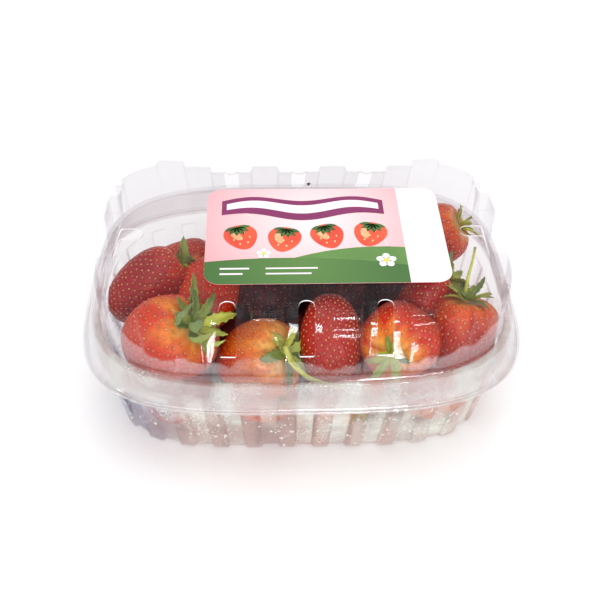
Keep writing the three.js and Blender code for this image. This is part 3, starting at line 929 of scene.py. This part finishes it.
def berry_parts(berry, grid, seed_count, draw):
    """The flesh with its dimples and colours, the seeds that sit in them and the beads of water on it."""
    lumps = [(draw.uniform(0.015, 0.05), draw.uniform(0, 2 * math.pi)) for _ in range(3)]
    place = berry_turn(berry)
    seed_theta, seed_phi = seed_places(seed_count, draw)
    seeds = berry_surface(berry, seed_theta, seed_phi, lumps)

    bm = bmesh.new()
    bmesh.ops.create_grid(bm, x_segments=grid[0], y_segments=grid[1], size=0.5)
    flat = np.array([v.co for v in bm.verts])
    theta = (flat[:, 0] + 0.5) * 2 * math.pi
    theta = np.where(theta > 2 * math.pi - 1e-4, 0.0, theta)
    phi = (flat[:, 1] + 0.5) * math.pi
    surface = berry_surface(berry, theta, phi, lumps)
    centre = np.array([0, 0, 0.1 * berry.length])
    inward = centre - surface
    inward /= np.linalg.norm(inward, axis=1)[:, None]
    dimple = dimple_depths(surface, seeds)
    surface = surface + inward * (SEED_DEPTH * dimple)[:, None]

    flesh = flesh_colours(berry, surface, theta, phi, dimple, draw)
    world = kept_inside(transformed(surface, place))
    layer = bm.verts.layers.float_color.new("flesh")
    for v, co, colour in zip(bm.verts, world.tolist(), flesh.tolist()):
        v.co = co
        v[layer] = (*colour, 1.0)
    bmesh.ops.remove_doubles(bm, verts=bm.verts, dist=WELD)
    bmesh.ops.recalc_face_normals(bm, faces=bm.faces)
    beads = bead_bodies(berry, lumps, place, draw)
    return bm, seed_bodies(seeds, centre, place, draw), beads


def flesh_colours(berry, surface, theta, phi, dimple, draw):
    """Ripe colour with soft patches and fine streaks along the berry, paler round the calyx."""
    ripe, second, shoulder, reach = KINDS[berry.kind]
    offset = Vector((draw.uniform(0, 50), draw.uniform(0, 50), 0))
    patch = np.array([noise.noise(Vector(point) * 0.085 + offset) for point in surface.tolist()])
    ends = np.stack([np.cos(theta) * 3.2, np.sin(theta) * 3.2, phi * 0.7], -1)
    streak = np.array([noise.noise(Vector(point) + offset) for point in ends.tolist()])
    share = np.clip(0.45 + 1.3 * patch, 0, 1)[:, None]
    colour = np.array(ripe) * (1 - share) + np.array(second) * share
    near = math.pi - phi
    ripening = np.clip(1.15 - (near + 0.55 * streak) / reach, 0, 1)[:, None]
    colour = colour * (1 - ripening) + np.array(shoulder) * ripening
    collar = np.clip(1.3 - (near + 0.25 * streak) / (0.42 * reach), 0, 1)[:, None]
    pale = collar * (0.2 + 0.35 * min(reach, 1.4))
    colour = colour * (1 - pale) + np.array(CREAM) * pale
    # painted shade: the flesh is darker in the seed dimples
    return colour * (1 - 0.4 * dimple[:, None])


def bead_bodies(berry, lumps, place, draw):
    """Small beads of water on the berry's skin."""
    theta = np.array([draw.uniform(0, 2 * math.pi) for _ in range(BEAD_COUNT)])
    phi = np.array([math.acos(draw.uniform(-0.8, 0.95)) for _ in range(BEAD_COUNT)])
    world = kept_inside(transformed(berry_surface(berry, theta, phi, lumps), place))
    bm = bmesh.new()
    for point in world.tolist():
        out = (Vector(point) - place.translation).normalized()
        across = out.orthogonal().normalized()
        size = 0.16 + 0.34 * draw.random() ** 3
        add_bead(bm, (across * size, out.cross(across) * size, out * size * 0.6), point)
    return bm


def seed_bodies(seeds, centre, place, draw):
    """Small flat pips lying in the dimples, long towards the tip."""
    bm = bmesh.new()
    world = kept_inside(transformed(seeds, place))
    middle = place @ Vector(centre)
    axis = (place.to_3x3() @ Vector((0, 0, 1))).normalized()
    for point in world.tolist():
        out = (Vector(point) - middle).normalized()
        along = (axis - axis.dot(out) * out).normalized()
        across = out.cross(along)
        size = draw.uniform(0.8, 1.15)
        axes = [side * half * size for side, half in zip((across, along, out), SEED_SIZE)]
        add_bead(bm, axes, Vector(point) - out * (SEED_DEPTH - 0.1))
    return bm


# Calyxes and stalks

LEAF_GREEN = (0.16, 0.23, 0.045)
YOUNG_GREEN = (0.54, 0.58, 0.06)
STALK_GREEN = (0.58, 0.60, 0.11)
LEAF_COLUMNS = 6
LEAF_ROWS = 16


def leaf_body(place, turn, length, width, lift, curl, twist, colour):
    """One long pointed leaf that leaves the calyx outwards, curls along its length and has a few teeth."""
    spine = []
    at = Vector((0.8, 0, 0))
    for row in range(LEAF_ROWS + 1):
        share = row / LEAF_ROWS
        spine.append(at.copy())
        slope = lift + curl * share * share
        at += Vector((math.cos(slope), 0, math.sin(slope))) * (length / LEAF_ROWS)
    spin = Matrix.Rotation(turn, 3, "Z")

    def point(column, row):
        share = row / LEAF_ROWS
        side = 2 * column / LEAF_COLUMNS - 1
        half = width / 2 * (0.45 + 2.6 * share) * (1 - share) ** 0.9 if row < LEAF_ROWS else 0.0
        tooth = 1 + (0.3 if row % 3 == 1 else -0.08) * (abs(side) == 1)
        fold = 0.45 * half * abs(side) ** 1.4
        sway = twist * share * side * half
        return spin @ (spine[row] + Vector((0, side * half * tooth, fold + sway)))

    bm = wrapped_grid(LEAF_COLUMNS, LEAF_ROWS, point)
    layer = bm.verts.layers.float_color.new("leaf")
    for v in bm.verts:
        reach = min(1.0, math.hypot(v.co.x, v.co.y) / length)
        light = 1.3 - 0.7 * reach
        v[layer] = (colour[0] * light, colour[1] * light, colour[2], 1.0)
    bm.transform(place)
    press_inside(bm)
    return bm


def press_inside(bm):
    points = kept_inside(np.array([v.co for v in bm.verts]))
    for v, co in zip(bm.verts, points.tolist()):
        v.co = co


def curve_points(knots, steps=5):
    """A smooth line through the knots."""
    knots = [Vector(knot) for knot in knots]
    ends = [2 * knots[0] - knots[1]] + knots + [2 * knots[-1] - knots[-2]]
    line = []
    for a, b, c, d in zip(ends, ends[1:], ends[2:], ends[3:]):
        for k in range(steps):
            t = k / steps
            line.append(0.5 * (2 * b + (c - a) * t + (2 * a - 5 * b + 4 * c - d) * t ** 2
                               + (3 * b - a - 3 * c + d) * t ** 3))
    line.append(knots[-1])
    return line


def stalk_body(knots, radius):
    """A round stalk along the knots, wider where it starts, with closed ends."""
    line = curve_points(knots)
    columns = 10
    last = len(line) - 1
    guide = Vector((0.31, 0.17, 0.93)).normalized()

    def point(column, row):
        at = min(max(row - 1, 0), last)
        along = (line[min(at + 1, last)] - line[max(at - 1, 0)]).normalized()
        across = along.cross(guide).normalized()
        rise = along.cross(across)
        size = radius * (1.3 - 0.45 * min(1.0, at / last * 1.6)) if 0 < row < last + 2 else 0.0
        size *= 1 + 0.08 * math.sin(3.1 * at)
        angle = 2 * math.pi * (column % columns) / columns
        return line[at] + size * (math.cos(angle) * across + math.sin(angle) * rise)

    bm = wrapped_grid(columns, last + 2, point)
    layer = bm.verts.layers.float_color.new("leaf")
    tip = line[last]
    for v in bm.verts:
        dry = max(0.0, 1 - (v.co - tip).length / 2.5)
        tone = [a * (1 - dry) + b * dry for a, b in zip(STALK_GREEN, (0.16, 0.12, 0.05))]
        v[layer] = (*tone, 1.0)
    press_inside(bm)
    bmesh.ops.recalc_face_normals(bm, faces=bm.faces)
    return bm


def calyx_parts(berry, draw):
    """The leaves of one berry in two whorls, and its stalk."""
    if not berry.leaves:
        return [], []
    place = berry_turn(berry) @ Matrix.Translation((0, 0, berry.length / 2 - 1.9))
    leaves = []
    for k in range(berry.leaves):
        turn = 2 * math.pi * (k + draw.uniform(-0.3, 0.3)) / berry.leaves
        fresh = draw.random() ** 1.5
        colour = tuple(a * (1 - fresh) + b * fresh for a, b in zip(LEAF_GREEN, YOUNG_GREEN))
        inner = k % 2
        leaves.append(leaf_body(
            place, turn, berry.leaf * draw.uniform(0.65, 1.2), draw.uniform(0.2, 0.31) * berry.leaf,
            draw.uniform(0.0, 0.4) + 0.5 * inner, draw.uniform(-1.1, 1.2), draw.uniform(-0.9, 0.9), colour,
        ))
    stalks = []
    if berry.stalk:
        lean = draw.uniform(-0.3, 0.3)
        knots = [place @ Vector((lean * reach, 0.3 * lean * reach, reach))
                 for reach in (-1.0, 0.4 * berry.stalk, berry.stalk + 1.0)]
        stalks.append(stalk_body(knots, 0.95))
    return leaves, stalks


# Label and its print

LABEL_BOX = [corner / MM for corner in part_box("label")]
LABEL_MIDDLE = (LABEL_BOX[0] + LABEL_BOX[1]) / 2
LABEL_HALF_X = (LABEL_BOX[1][0] - LABEL_BOX[0][0]) / 2
LABEL_HALF_Y = (LABEL_BOX[1][1] - LABEL_BOX[0][1]) / 2
LABEL_CORNER = 5.0
LABEL_SHEET = 0.12
PANEL_X = 32.0
PRINT_STEP = 0.03


def label_outline(inset=0.0, steps=8):
    """Points of the label's edge, anticlockwise from the front right corner."""
    radius = LABEL_CORNER - inset
    points = []
    for sx, sy, start in ((1, -1, -90), (1, 1, 0), (-1, 1, 90), (-1, -1, 180)):
        cx = LABEL_MIDDLE[0] + sx * (LABEL_HALF_X - LABEL_CORNER)
        cy = LABEL_MIDDLE[1] + sy * (LABEL_HALF_Y - LABEL_CORNER)
        for k in range(steps + 1):
            angle = math.radians(start + 90 * k / steps)
            points.append((cx + radius * math.cos(angle), cy + radius * math.sin(angle)))
    return points


def flat_face(points, z):
    bm = bmesh.new()
    bm.faces.new([bm.verts.new((x, y, z)) for x, y in points])
    bmesh.ops.recalc_face_normals(bm, faces=bm.faces)
    if bm.faces[:][0].normal.z < 0:
        bmesh.ops.reverse_faces(bm, faces=bm.faces)
    return bm


def cut_beyond(bm, place, normal):
    """Cuts the flat shape along a line and takes away what lies beyond it."""
    bmesh.ops.bisect_plane(bm, geom=bm.verts[:] + bm.edges[:] + bm.faces[:], plane_co=place,
                           plane_no=normal, clear_outer=True)


def raised(bm, height):
    """The flat shape made a thin closed sheet of this height, from where it lies upwards."""
    made = bmesh.ops.extrude_face_region(bm, geom=bm.faces[:])
    top = [v for v in made["geom"] if isinstance(v, bmesh.types.BMVert)]
    bmesh.ops.translate(bm, vec=(0, 0, height), verts=top)
    bmesh.ops.recalc_face_normals(bm, faces=bm.faces)
    return bm


def moved(points, x, y, turn=0.0):
    """The points turned about the origin, then moved to a place."""
    c = math.cos(turn)
    s = math.sin(turn)
    return [(x + px * c - py * s, y + px * s + py * c) for px, py in points]


def disc_points(x, y, half_x, half_y, turn=0.0, steps=28, tip=0.0):
    """An oval, drawn out to a soft point at its front by tip."""
    points = []
    for k in range(steps):
        angle = 2 * math.pi * k / steps
        points.append((half_x * math.cos(angle) * (1 + tip * math.sin(angle)), half_y * math.sin(angle)))
    return moved(points, x, y, turn)


def leaf_points(x, y, length, width, turn, steps=8):
    points = []
    for side in (1, -1):
        for k in range(steps):
            share = k / steps if side > 0 else 1 - k / steps
            points.append((length * share, side * width / 2 * math.sin(math.pi * share)))
    return moved(points, x, y, turn)


def ribbon_points(start, end, y, half, wave, steps=36):
    """A waving band between two places along X."""
    top = []
    bottom = []
    for k in range(steps + 1):
        share = k / steps
        x = start + (end - start) * share
        middle = y + wave * math.sin(2 * math.pi * share * 1.5)
        thin = half * (0.72 + 0.28 * math.sin(math.pi * share))
        top.append((x, middle + thin))
        bottom.append((x, middle - thin))
    return bottom + top[::-1]


def arc_points(cx, cy, radius, half, start, end, steps=30):
    """A thin band along part of a circle, from start to end in degrees."""
    angles = [math.radians(start + (end - start) * k / steps) for k in range(steps + 1)]
    outer, inner = ([(cx + rim * math.cos(a), cy + rim * math.sin(a)) for a in angles]
                    for rim in (radius + half, radius - half))
    return outer + inner[::-1]


def printed(name, shapes, material):
    """Thin sheets of one ink, from where the flat shapes lie upwards, as one piece of the label."""
    sheets = joined([raised(shape, PRINT_STEP) for shape in shapes])
    finish_piece(name, sheets, material, smooth=False)


# Operators, one for each group of pieces

class PUNNET_OT_tray(bpy.types.Operator):
    """Fluted tray with its rim and flange"""
    bl_idname = "punnet.tray"
    bl_label = "Tray"

    def execute(self, context):
        look = context.scene.punnet_look
        bm = shell_sheet(tray_levels(), tray_stations(), 1.0)
        mark_mist(bm)
        piece = finish_piece("tray_shell", bm, tray_material(look))
        thicken(piece, FILM * MM, -1.0)
        settle(piece)
        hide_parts("base_tray")
        return {"FINISHED"}


class PUNNET_OT_lid(bpy.types.Operator):
    """Press-fit lid with its skirt, fluted wall, scalloped deck and vent slots"""
    bl_idname = "punnet.lid"
    bl_label = "Lid"

    def execute(self, context):
        look = context.scene.punnet_look
        bm = shell_sheet(lid_levels(), finer(mirrored_round(deck_quarter())), -1.0)
        piece = finish_piece("lid_shell", bm, lid_material(look))
        thicken(piece, FILM * MM, -1.0)
        # painted highlight: the slots' cut edges are an opaque pale grey
        rim = speckled_material("film_cut_edge_painted_highlight", (0.86, 0.87, 0.89), (0.96, 0.96, 0.97), 300.0, 0.2)
        cut_slots(piece, rim)
        piece.data.set_sharp_from_angle(angle=math.radians(55))
        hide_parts("lid")
        return {"FINISHED"}


class PUNNET_OT_label(bpy.types.Operator):
    """Label sheet with its fields of colour and simple printed shapes"""
    bl_idname = "punnet.label"
    bl_label = "Label"

    def execute(self, context):
        look = context.scene.punnet_look
        base = DECK_Z + 0.05
        sheet = raised(flat_face(label_outline(), base), LABEL_SHEET)
        deck = DECK_Z * MM
        glow = glow_material("label_pink", look.field_edge, look.field_middle, (0.004, 0.006, deck), 0.042)
        piece = finish_piece("label_sheet", sheet, glow, smooth=False)
        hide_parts("label")
        top = base + LABEL_SHEET

        panel = flat_face(label_outline(0.02), top)
        cut_beyond(panel, (PANEL_X, 0, top), (-1, 0, 0))
        white = speckled_material("label_white", (0.86, 0.85, 0.86), (0.9, 0.9, 0.9), 40.0, 0.35, 0.15, 0.05)
        printed("label_panel", [panel], white)

        light = speckled_material("label_light_green", look.band_light, (0.13, 0.29, 0.06), 60.0, 0.32,
                                  coat=0.2, bump=0.05)
        printed("label_hill", [self.hill(24.0, -7.6, 75.0, top)], light)
        green = glow_material("label_green", look.band_dark, look.band_light, (0.0, -0.014, deck), 0.03)
        printed("label_band", [self.hill(-6.0, -12.6, 190.0, top + PRINT_STEP)], green)
        self.shapes(top)
        return {"FINISHED"}

    def hill(self, middle_x, top_y, radius, z):
        """The part of the label left of its panel and under a low round hill."""
        shape = flat_face(label_outline(0.02), z)
        cut_beyond(shape, (PANEL_X - 0.01, 0, z), (1, 0, 0))
        for k in range(-12, 13):
            angle = k * 5.0 / radius
            normal = (math.sin(angle), math.cos(angle), 0)
            cut_beyond(shape, (middle_x + radius * normal[0], top_y + radius * (normal[1] - 1), z), normal)
        return shape

    def shapes(self, top):
        """The printed shapes, each kind in its own layer over the label's top."""
        def stamp(name, outlines, layer, ink):
            printed(name, [flat_face(points, top + layer * PRINT_STEP) for points in outlines], ink)

        arcs = [arc_points(cx, cy, radius, 0.22, start, end) for cx, cy, radius, start, end in (
            (-30.0, -8.0, 21.0, 5, 80), (-2.0, -12.0, 29.0, 8, 62), (8.0, -14.0, 31.0, 52, 78),
        )]
        stamp("print_arcs", arcs, 0, ink_material("arc", (0.93, 0.62, 0.65), (0.95, 0.72, 0.74)))
        plum = ink_material("plum", (0.21, 0.012, 0.10), (0.25, 0.015, 0.12))
        pale = ink_material("pale", (0.93, 0.80, 0.84), (0.96, 0.88, 0.90))
        stamp("print_ribbon", [ribbon_points(-26, 27, 12.2, 5.0, 1.5)], 2, plum)
        stamp("print_ribbon_middle", [ribbon_points(-24.4, 25.4, 12.7, 2.1, 1.5)], 3, pale)
        self.fruit(stamp)
        self.blossoms(stamp)
        bars = [ribbon_points(start, end, -17.4 - 2.4 * row, half, 0.0, steps=1)
                for row, start, end, half in ((0, -26, -17, 0.5), (1, -26, -19, 0.5),
                                              (0, -12, 4, 0.45), (1, -12, 2, 0.45))]
        stamp("print_bars", bars, 2, pale)

    def fruit(self, stamp):
        """A row of simple berries."""
        fruit = [(-19.5, -2.6, 0.3), (-6.0, -3.8, -0.2), (8.0, -2.4, 0.25), (21.5, -1.6, -0.25)]
        bodies = [disc_points(x, y, 5.2, 6.0, turn, tip=0.26) for x, y, turn in fruit]
        stamp("print_fruit", bodies, 2, ink_material("red", (0.74, 0.055, 0.025), (0.84, 0.11, 0.04), 150.0))
        shines = [disc_points(x - 1.6, y + 0.6, 1.3, 2.6, turn + 0.4) for x, y, turn in fruit]
        stamp("print_shines", shines, 3, ink_material("orange", (0.90, 0.36, 0.16), (0.94, 0.5, 0.25), 150.0))
        caps = []
        dots = []
        for x, y, turn in fruit:
            cap = moved([(0.0, 5.2)], x, y, turn)[0]
            caps += [leaf_points(*cap, 4.4, 1.7, turn + math.radians(-170 + 32 * k)) for k in range(6)]
            places = [((column - (columns - 1) / 2) * 2.6, 1.8 - 2.4 * row)
                      for row, columns in enumerate((2, 3, 2)) for column in range(columns)]
            dots += [disc_points(*dot, 0.25, 0.42, turn, steps=8) for dot in moved(places, x, y, turn)]
        stamp("print_leaves", caps, 4, ink_material("leaf", (0.03, 0.10, 0.012), (0.06, 0.16, 0.02), 150.0))
        stamp("print_dots", dots, 4, ink_material("dot", (0.9, 0.72, 0.25), (0.95, 0.8, 0.35), 150.0))

    def blossoms(self, stamp):
        """Two simple flowers."""
        petals = []
        middles = []
        for x, y, size in ((25.5, -14.2, 3.0), (-12.5, -10.6, 2.2)):
            for k in range(5):
                angle = 2 * math.pi * k / 5 + 0.3
                petal = moved([(size * 0.62, 0.0)], x, y, angle)[0]
                petals.append(disc_points(*petal, size * 0.46, size * 0.4, angle, steps=16))
            middles.append(disc_points(x, y, size * 0.3, size * 0.3, steps=16))
        stamp("print_petals", petals, 4, ink_material("petal", (0.9, 0.89, 0.9), (0.95, 0.95, 0.95)))
        stamp("print_blossom_middles", middles, 5, ink_material("yellow", (0.9, 0.6, 0.05), (0.95, 0.7, 0.1)))


class PUNNET_OT_berries(bpy.types.Operator):
    """Strawberries with their seeds, leaves and stalks, over a dark core of painted shade"""
    bl_idname = "punnet.berries"
    bl_label = "Berries"

    def execute(self, context):
        look = context.scene.punnet_look
        draw = random.Random(BERRY_DRAW)
        groups = {
            "front": ("front", "middle", "right"),
            "left": ("big", "dark", "second"),
            "right": ("end", "back_right"),
            "rear": ("back_left", "tucked"),
        }
        fruit = fruit_material("fruit_flesh", 0.28)
        pip = speckled_material("seed_gold", (0.86, 0.46, 0.14), (0.72, 0.28, 0.06), 300.0, 0.25, 0.6, 0.05)
        pieces = []
        leaves = []
        beads = []
        stalks = [stalk_body(knots, radius) for knots, radius in zip(LONG_STALKS, STALK_RADII)]
        shown = (leaves, stalks, beads)
        for group, names in groups.items():
            berries = [SHOWN_BERRIES[name] for name in names]
            pieces += self.batch(group, berries, SHOWN_GRID, look.seed_count, (fruit, pip), draw, shown)
        hidden = hidden_berries(draw)
        under = [berry for berry in hidden if berry.kind != "shade"]
        shaded = [berry for berry in hidden if berry.kind == "shade"]
        # The front row under the label gets dark seeds, painted shade, and flesh without coat
        dim = speckled_material("seed_painted_shade", (0.26, 0.09, 0.03), (0.18, 0.05, 0.02), 300.0, 0.5, 0.0, 0.05)
        dull = fruit_material("fruit_shaded", 0.0)
        fewer = look.seed_count * 2 // 3
        # The hidden berries show no beads of water
        unseen = (leaves, stalks, [])
        pieces += self.batch("under", under, UNDER_GRID, fewer, (fruit, pip), draw, unseen)
        pieces += self.batch("shaded", shaded, SHADED_GRID, fewer, (dull, dim), draw, unseen)
        green = leaf_material()
        calyx = finish_piece("calyx_leaves", joined(leaves), green)
        thicken(calyx, 0.25 * MM, 0.0)
        pieces.append(calyx)
        pieces.append(finish_piece("stalks", joined(stalks), green))
        water = water_material("fruit_water", ((0.88, 0.88, 0.88), (0.98, 0.98, 0.98)), (0.12, 0.5),
                               ((0.97, 0.9, 0.88), (0.9, 0.8, 0.78)), Roughness=0.04, Metallic=0.9)
        pieces.append(finish_piece("fruit_beads", joined(beads), water))
        pieces.append(self.core())
        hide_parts("berries")
        return {"FINISHED"}

    def batch(self, group, berries, grid, seed_count, materials, draw, extras):
        """The flesh and the seeds of some berries, one piece each; extras takes leaves, stalks and beads."""
        leaves, stalks, beads = extras
        bodies = []
        pips = []
        for berry in berries:
            body, own_pips, own_beads = berry_parts(berry, grid, seed_count, draw)
            bodies.append(body)
            beads.append(own_beads)
            pips.append(own_pips)
            own_leaves, own_stalks = calyx_parts(berry, draw)
            leaves.extend(own_leaves)
            stalks.extend(own_stalks)
        return [finish_piece(f"berries_{group}", joined(bodies), materials[0]),
                finish_piece(f"seeds_{group}", joined(pips), materials[1])]

    def core(self):
        """A dark body deep in the heap, painted shade that closes the gaps between the berries."""
        bm = bmesh.new()
        bmesh.ops.create_icosphere(bm, subdivisions=4, radius=1.0)
        for v in bm.verts:
            lump = 1 + 0.12 * noise.noise(v.co * 3.0)
            v.co = Vector((v.co.x * 44 * lump, v.co.y * 23 * lump, 21 + v.co.z * 12 * lump))
        dark = speckled_material("core_painted_shade", (0.10, 0.006, 0.008), (0.2, 0.012, 0.01), 90.0, 0.6)
        return finish_piece("berry_core", bm, dark)


class PUNNET_OT_drops(bpy.types.Operator):
    """Drops of condensed water inside the front of the tray wall, and a few crumbs"""
    bl_idname = "punnet.drops"
    bl_label = "Drops"

    def execute(self, context):
        look = context.scene.punnet_look
        draw = random.Random(DROP_DRAW)
        flute_at = flute_heights()
        clusters = [(draw.uniform(math.pi, 2 * math.pi), draw.uniform(8, 26))
                    for _ in range(look.drop_count // DROPS_A_CLUSTER)]
        parts = []
        for _ in range(DROP_BATCHES):
            bm = bmesh.new()
            for _ in range(look.drop_count // DROP_BATCHES):
                if draw.random() < CLUSTERED_SHARE:
                    middle, height = draw.choice(clusters)
                    angle = (middle + draw.gauss(0, 0.035)) % (2 * math.pi)
                    z = min(max(height + draw.gauss(0, 4), 2), FLUTE_TOP_Z - 1)
                else:
                    angle = draw.uniform(math.pi, 2 * math.pi)
                    z = draw.uniform(2, FLUTE_TOP_Z - 1)
                drop_on_wall(bm, angle, z, flute_at(angle), 0.14 + 0.5 * draw.random() ** 5)
            parts.append(bm)
        # Near-opaque white drops: partly the whiteness of the mist, partly painted glints
        water = water_material("water_drops_painted_glint", ((0.9, 0.9, 0.9), (0.97, 0.97, 0.98)), (0.75, 1.0),
                               ((0.97, 0.97, 0.97), (0.9, 0.9, 0.92)), Roughness=0.05, IOR=1.6)
        piece = finish_piece("mist_drops", joined(parts), water)
        self.crumbs()
        return {"FINISHED"}

    def crumbs(self):
        """Small dark bits that stick to the film."""
        parts = []
        for at, size in (((10.9, -40.6, 13.0), 0.7), ((57.5, -29.0, 12.5), 0.9), ((3.0, 27.0, 60.2), 0.6)):
            bm = bmesh.new()
            bmesh.ops.create_icosphere(bm, subdivisions=3, radius=1.0)
            for v in bm.verts:
                v.co *= size * (1 + 0.5 * noise.noise(v.co * 1.7 + Vector(at)))
                v.co += Vector(at)
            press_inside(bm)
            parts.append(bm)
        brown = speckled_material("crumb_brown", (0.12, 0.01, 0.01), (0.05, 0.02, 0.015), 900.0, 0.5)
        finish_piece("crumbs", joined(parts), brown)


class PUNNET_OT_stage(bpy.types.Operator):
    """Plain pale floor, soft lights and the camera"""
    bl_idname = "punnet.stage"
    bl_label = "Stage"

    def execute(self, context):
        scene = context.scene
        bm = bmesh.new()
        bmesh.ops.create_grid(bm, x_segments=1, y_segments=1, size=3.0)
        pale = speckled_material("floor_pale", (0.93, 0.93, 0.93), (0.95, 0.95, 0.95), 2.0, 0.8)
        floor = new_object("floor", bm, pale)
        self.lamps(scene)
        self.camera(scene)
        scene.view_settings.view_transform = "Standard"
        scene.cycles.transparent_max_bounces = 32
        return {"FINISHED"}

    def lamps(self, scene):
        world = bpy.data.worlds.new("studio")
        world.use_nodes = True
        sky = world.node_tree.nodes["Background"]
        sky.inputs["Color"].default_value = (0.98, 0.985, 1.0, 1)
        sky.inputs["Strength"].default_value = 0.72
        scene.world = world
        # Name, place, height, width and power of each lamp; all point at the pack
        places = (
            ("overhead", (0.05, 0.15, 1.1), 0.9, 0.9, 3.8),
            ("front_soft", (0.05, -0.95, 0.95), 0.9, 1.3, 5.0),
            ("groove_strip", (0.14, -0.85, 0.305), 0.04, 0.30, 1.8),
            ("tab_strip", (0.17, -0.85, 0.07), 0.03, 0.24, 0.9),
            ("left_strip", (-0.75, -0.35, 0.35), 0.35, 0.08, 0.7),
            ("ledge_strip", (0.122, 0.271, 0.547), 0.02, 0.13, 0.2),
        )
        for name, place, height, width, power in places:
            lamp = bpy.data.lights.new(name, "AREA")
            lamp.shape = "RECTANGLE"
            lamp.size = width
            lamp.size_y = height
            lamp.energy = power
            holder = bpy.data.objects.new(name, lamp)
            holder.location = place
            aim = Vector((0, 0, 0.03)) - Vector(place)
            holder.rotation_euler = aim.to_track_quat("-Z", "Y").to_euler()
            scene.collection.objects.link(holder)

    def camera(self, scene):
        tilt = math.radians(VIEW_TILT)
        turn = math.radians(VIEW_TURN)
        roll = math.radians(VIEW_ROLL)
        back = Vector((math.sin(turn) * math.cos(tilt), -math.cos(turn) * math.cos(tilt), math.sin(tilt)))
        right = Vector((math.cos(turn), math.sin(turn), 0))
        up = back.cross(right)
        side = right * math.cos(roll) + up * math.sin(roll)
        rise = up * math.cos(roll) - right * math.sin(roll)
        data = bpy.data.cameras.new("camera")
        data.lens = VIEW_LENS
        data.sensor_width = 36.0
        camera = bpy.data.objects.new("camera", data)
        matrix = Matrix((side, rise, back)).transposed().to_4x4()
        matrix.translation = (Vector(VIEW_TARGET) + back * VIEW_DISTANCE) * MM
        camera.matrix_world = matrix
        scene.collection.objects.link(camera)
        scene.camera = camera


def colour_property(name, description, default):
    return bpy.props.FloatVectorProperty(name=name, description=description, default=default,
                                         subtype="COLOR", min=0.0, max=1.0)


class PunnetLook(bpy.types.PropertyGroup):
    film_tint: colour_property("Film", "Colour of the film's own surface", (0.90, 0.89, 0.92))
    face_tint: colour_property("Tint", "Tint of what lies behind, face on", (0.972, 0.968, 0.971))
    edge_tint: colour_property("Edge tint", "Tint of what lies behind, edge on", (0.92, 0.915, 0.93))
    veil: bpy.props.FloatProperty(name="Milky wall", description="How milky the lower wall of the lid is",
                                  default=0.11, min=0.0, max=1.0, subtype="FACTOR")
    mist_warm: colour_property("Warm mist", "Colour of the mist where fruit lies behind", (0.73, 0.52, 0.44))
    mist_cool: colour_property("Cool mist", "Colour of the mist elsewhere", (0.83, 0.84, 0.76))
    mist: bpy.props.FloatProperty(name="Mist", description="How thick the mist in the tray is", default=0.5,
                                  min=0.0, max=1.0, subtype="FACTOR")
    drop_count: bpy.props.IntProperty(name="Drops", description="Drops in the tray", default=1600, min=60)
    seed_count: bpy.props.IntProperty(name="Seeds", description="Seeds on each berry", default=430, min=20)
    field_edge: colour_property("Label field", "Outer colour of the label's field", (0.90, 0.37, 0.40))
    field_middle: colour_property("Label glow", "Paler middle of the label's field", (0.93, 0.82, 0.83))
    band_dark: colour_property("Band", "Outer colour of the label's band", (0.045, 0.145, 0.022))
    band_light: colour_property("Band glow", "Paler colour of the label's band", (0.10, 0.23, 0.045))


class PUNNET_PT_panel(bpy.types.Panel):
    """Sizes, colours and pieces of the punnet"""
    bl_label = "Punnet"
    bl_idname = "PUNNET_PT_panel"
    bl_space_type = "VIEW_3D"
    bl_region_type = "UI"
    bl_category = "Punnet"

    def draw(self, context):
        for name in PunnetLook.__annotations__:
            self.layout.prop(context.scene.punnet_look, name)
        for operator in OPERATORS:
            self.layout.operator(operator.bl_idname)


OPERATORS = (PUNNET_OT_stage, PUNNET_OT_tray, PUNNET_OT_lid,
             PUNNET_OT_label, PUNNET_OT_berries, PUNNET_OT_drops)
CLASSES = (PunnetLook, *OPERATORS, PUNNET_PT_panel)


def register():
    for made in CLASSES:
        bpy.utils.register_class(made)
    bpy.types.Scene.punnet_look = bpy.props.PointerProperty(type=PunnetLook)


def unregister():
    del bpy.types.Scene.punnet_look
    for made in reversed(CLASSES):
        bpy.utils.unregister_class(made)


def main():
    register()
    bpy.ops.punnet.stage()
    bpy.ops.punnet.tray()
    bpy.ops.punnet.lid()
    bpy.ops.punnet.label()
    bpy.ops.punnet.berries()
    bpy.ops.punnet.drops()


if __name__ == "__main__":
    main()
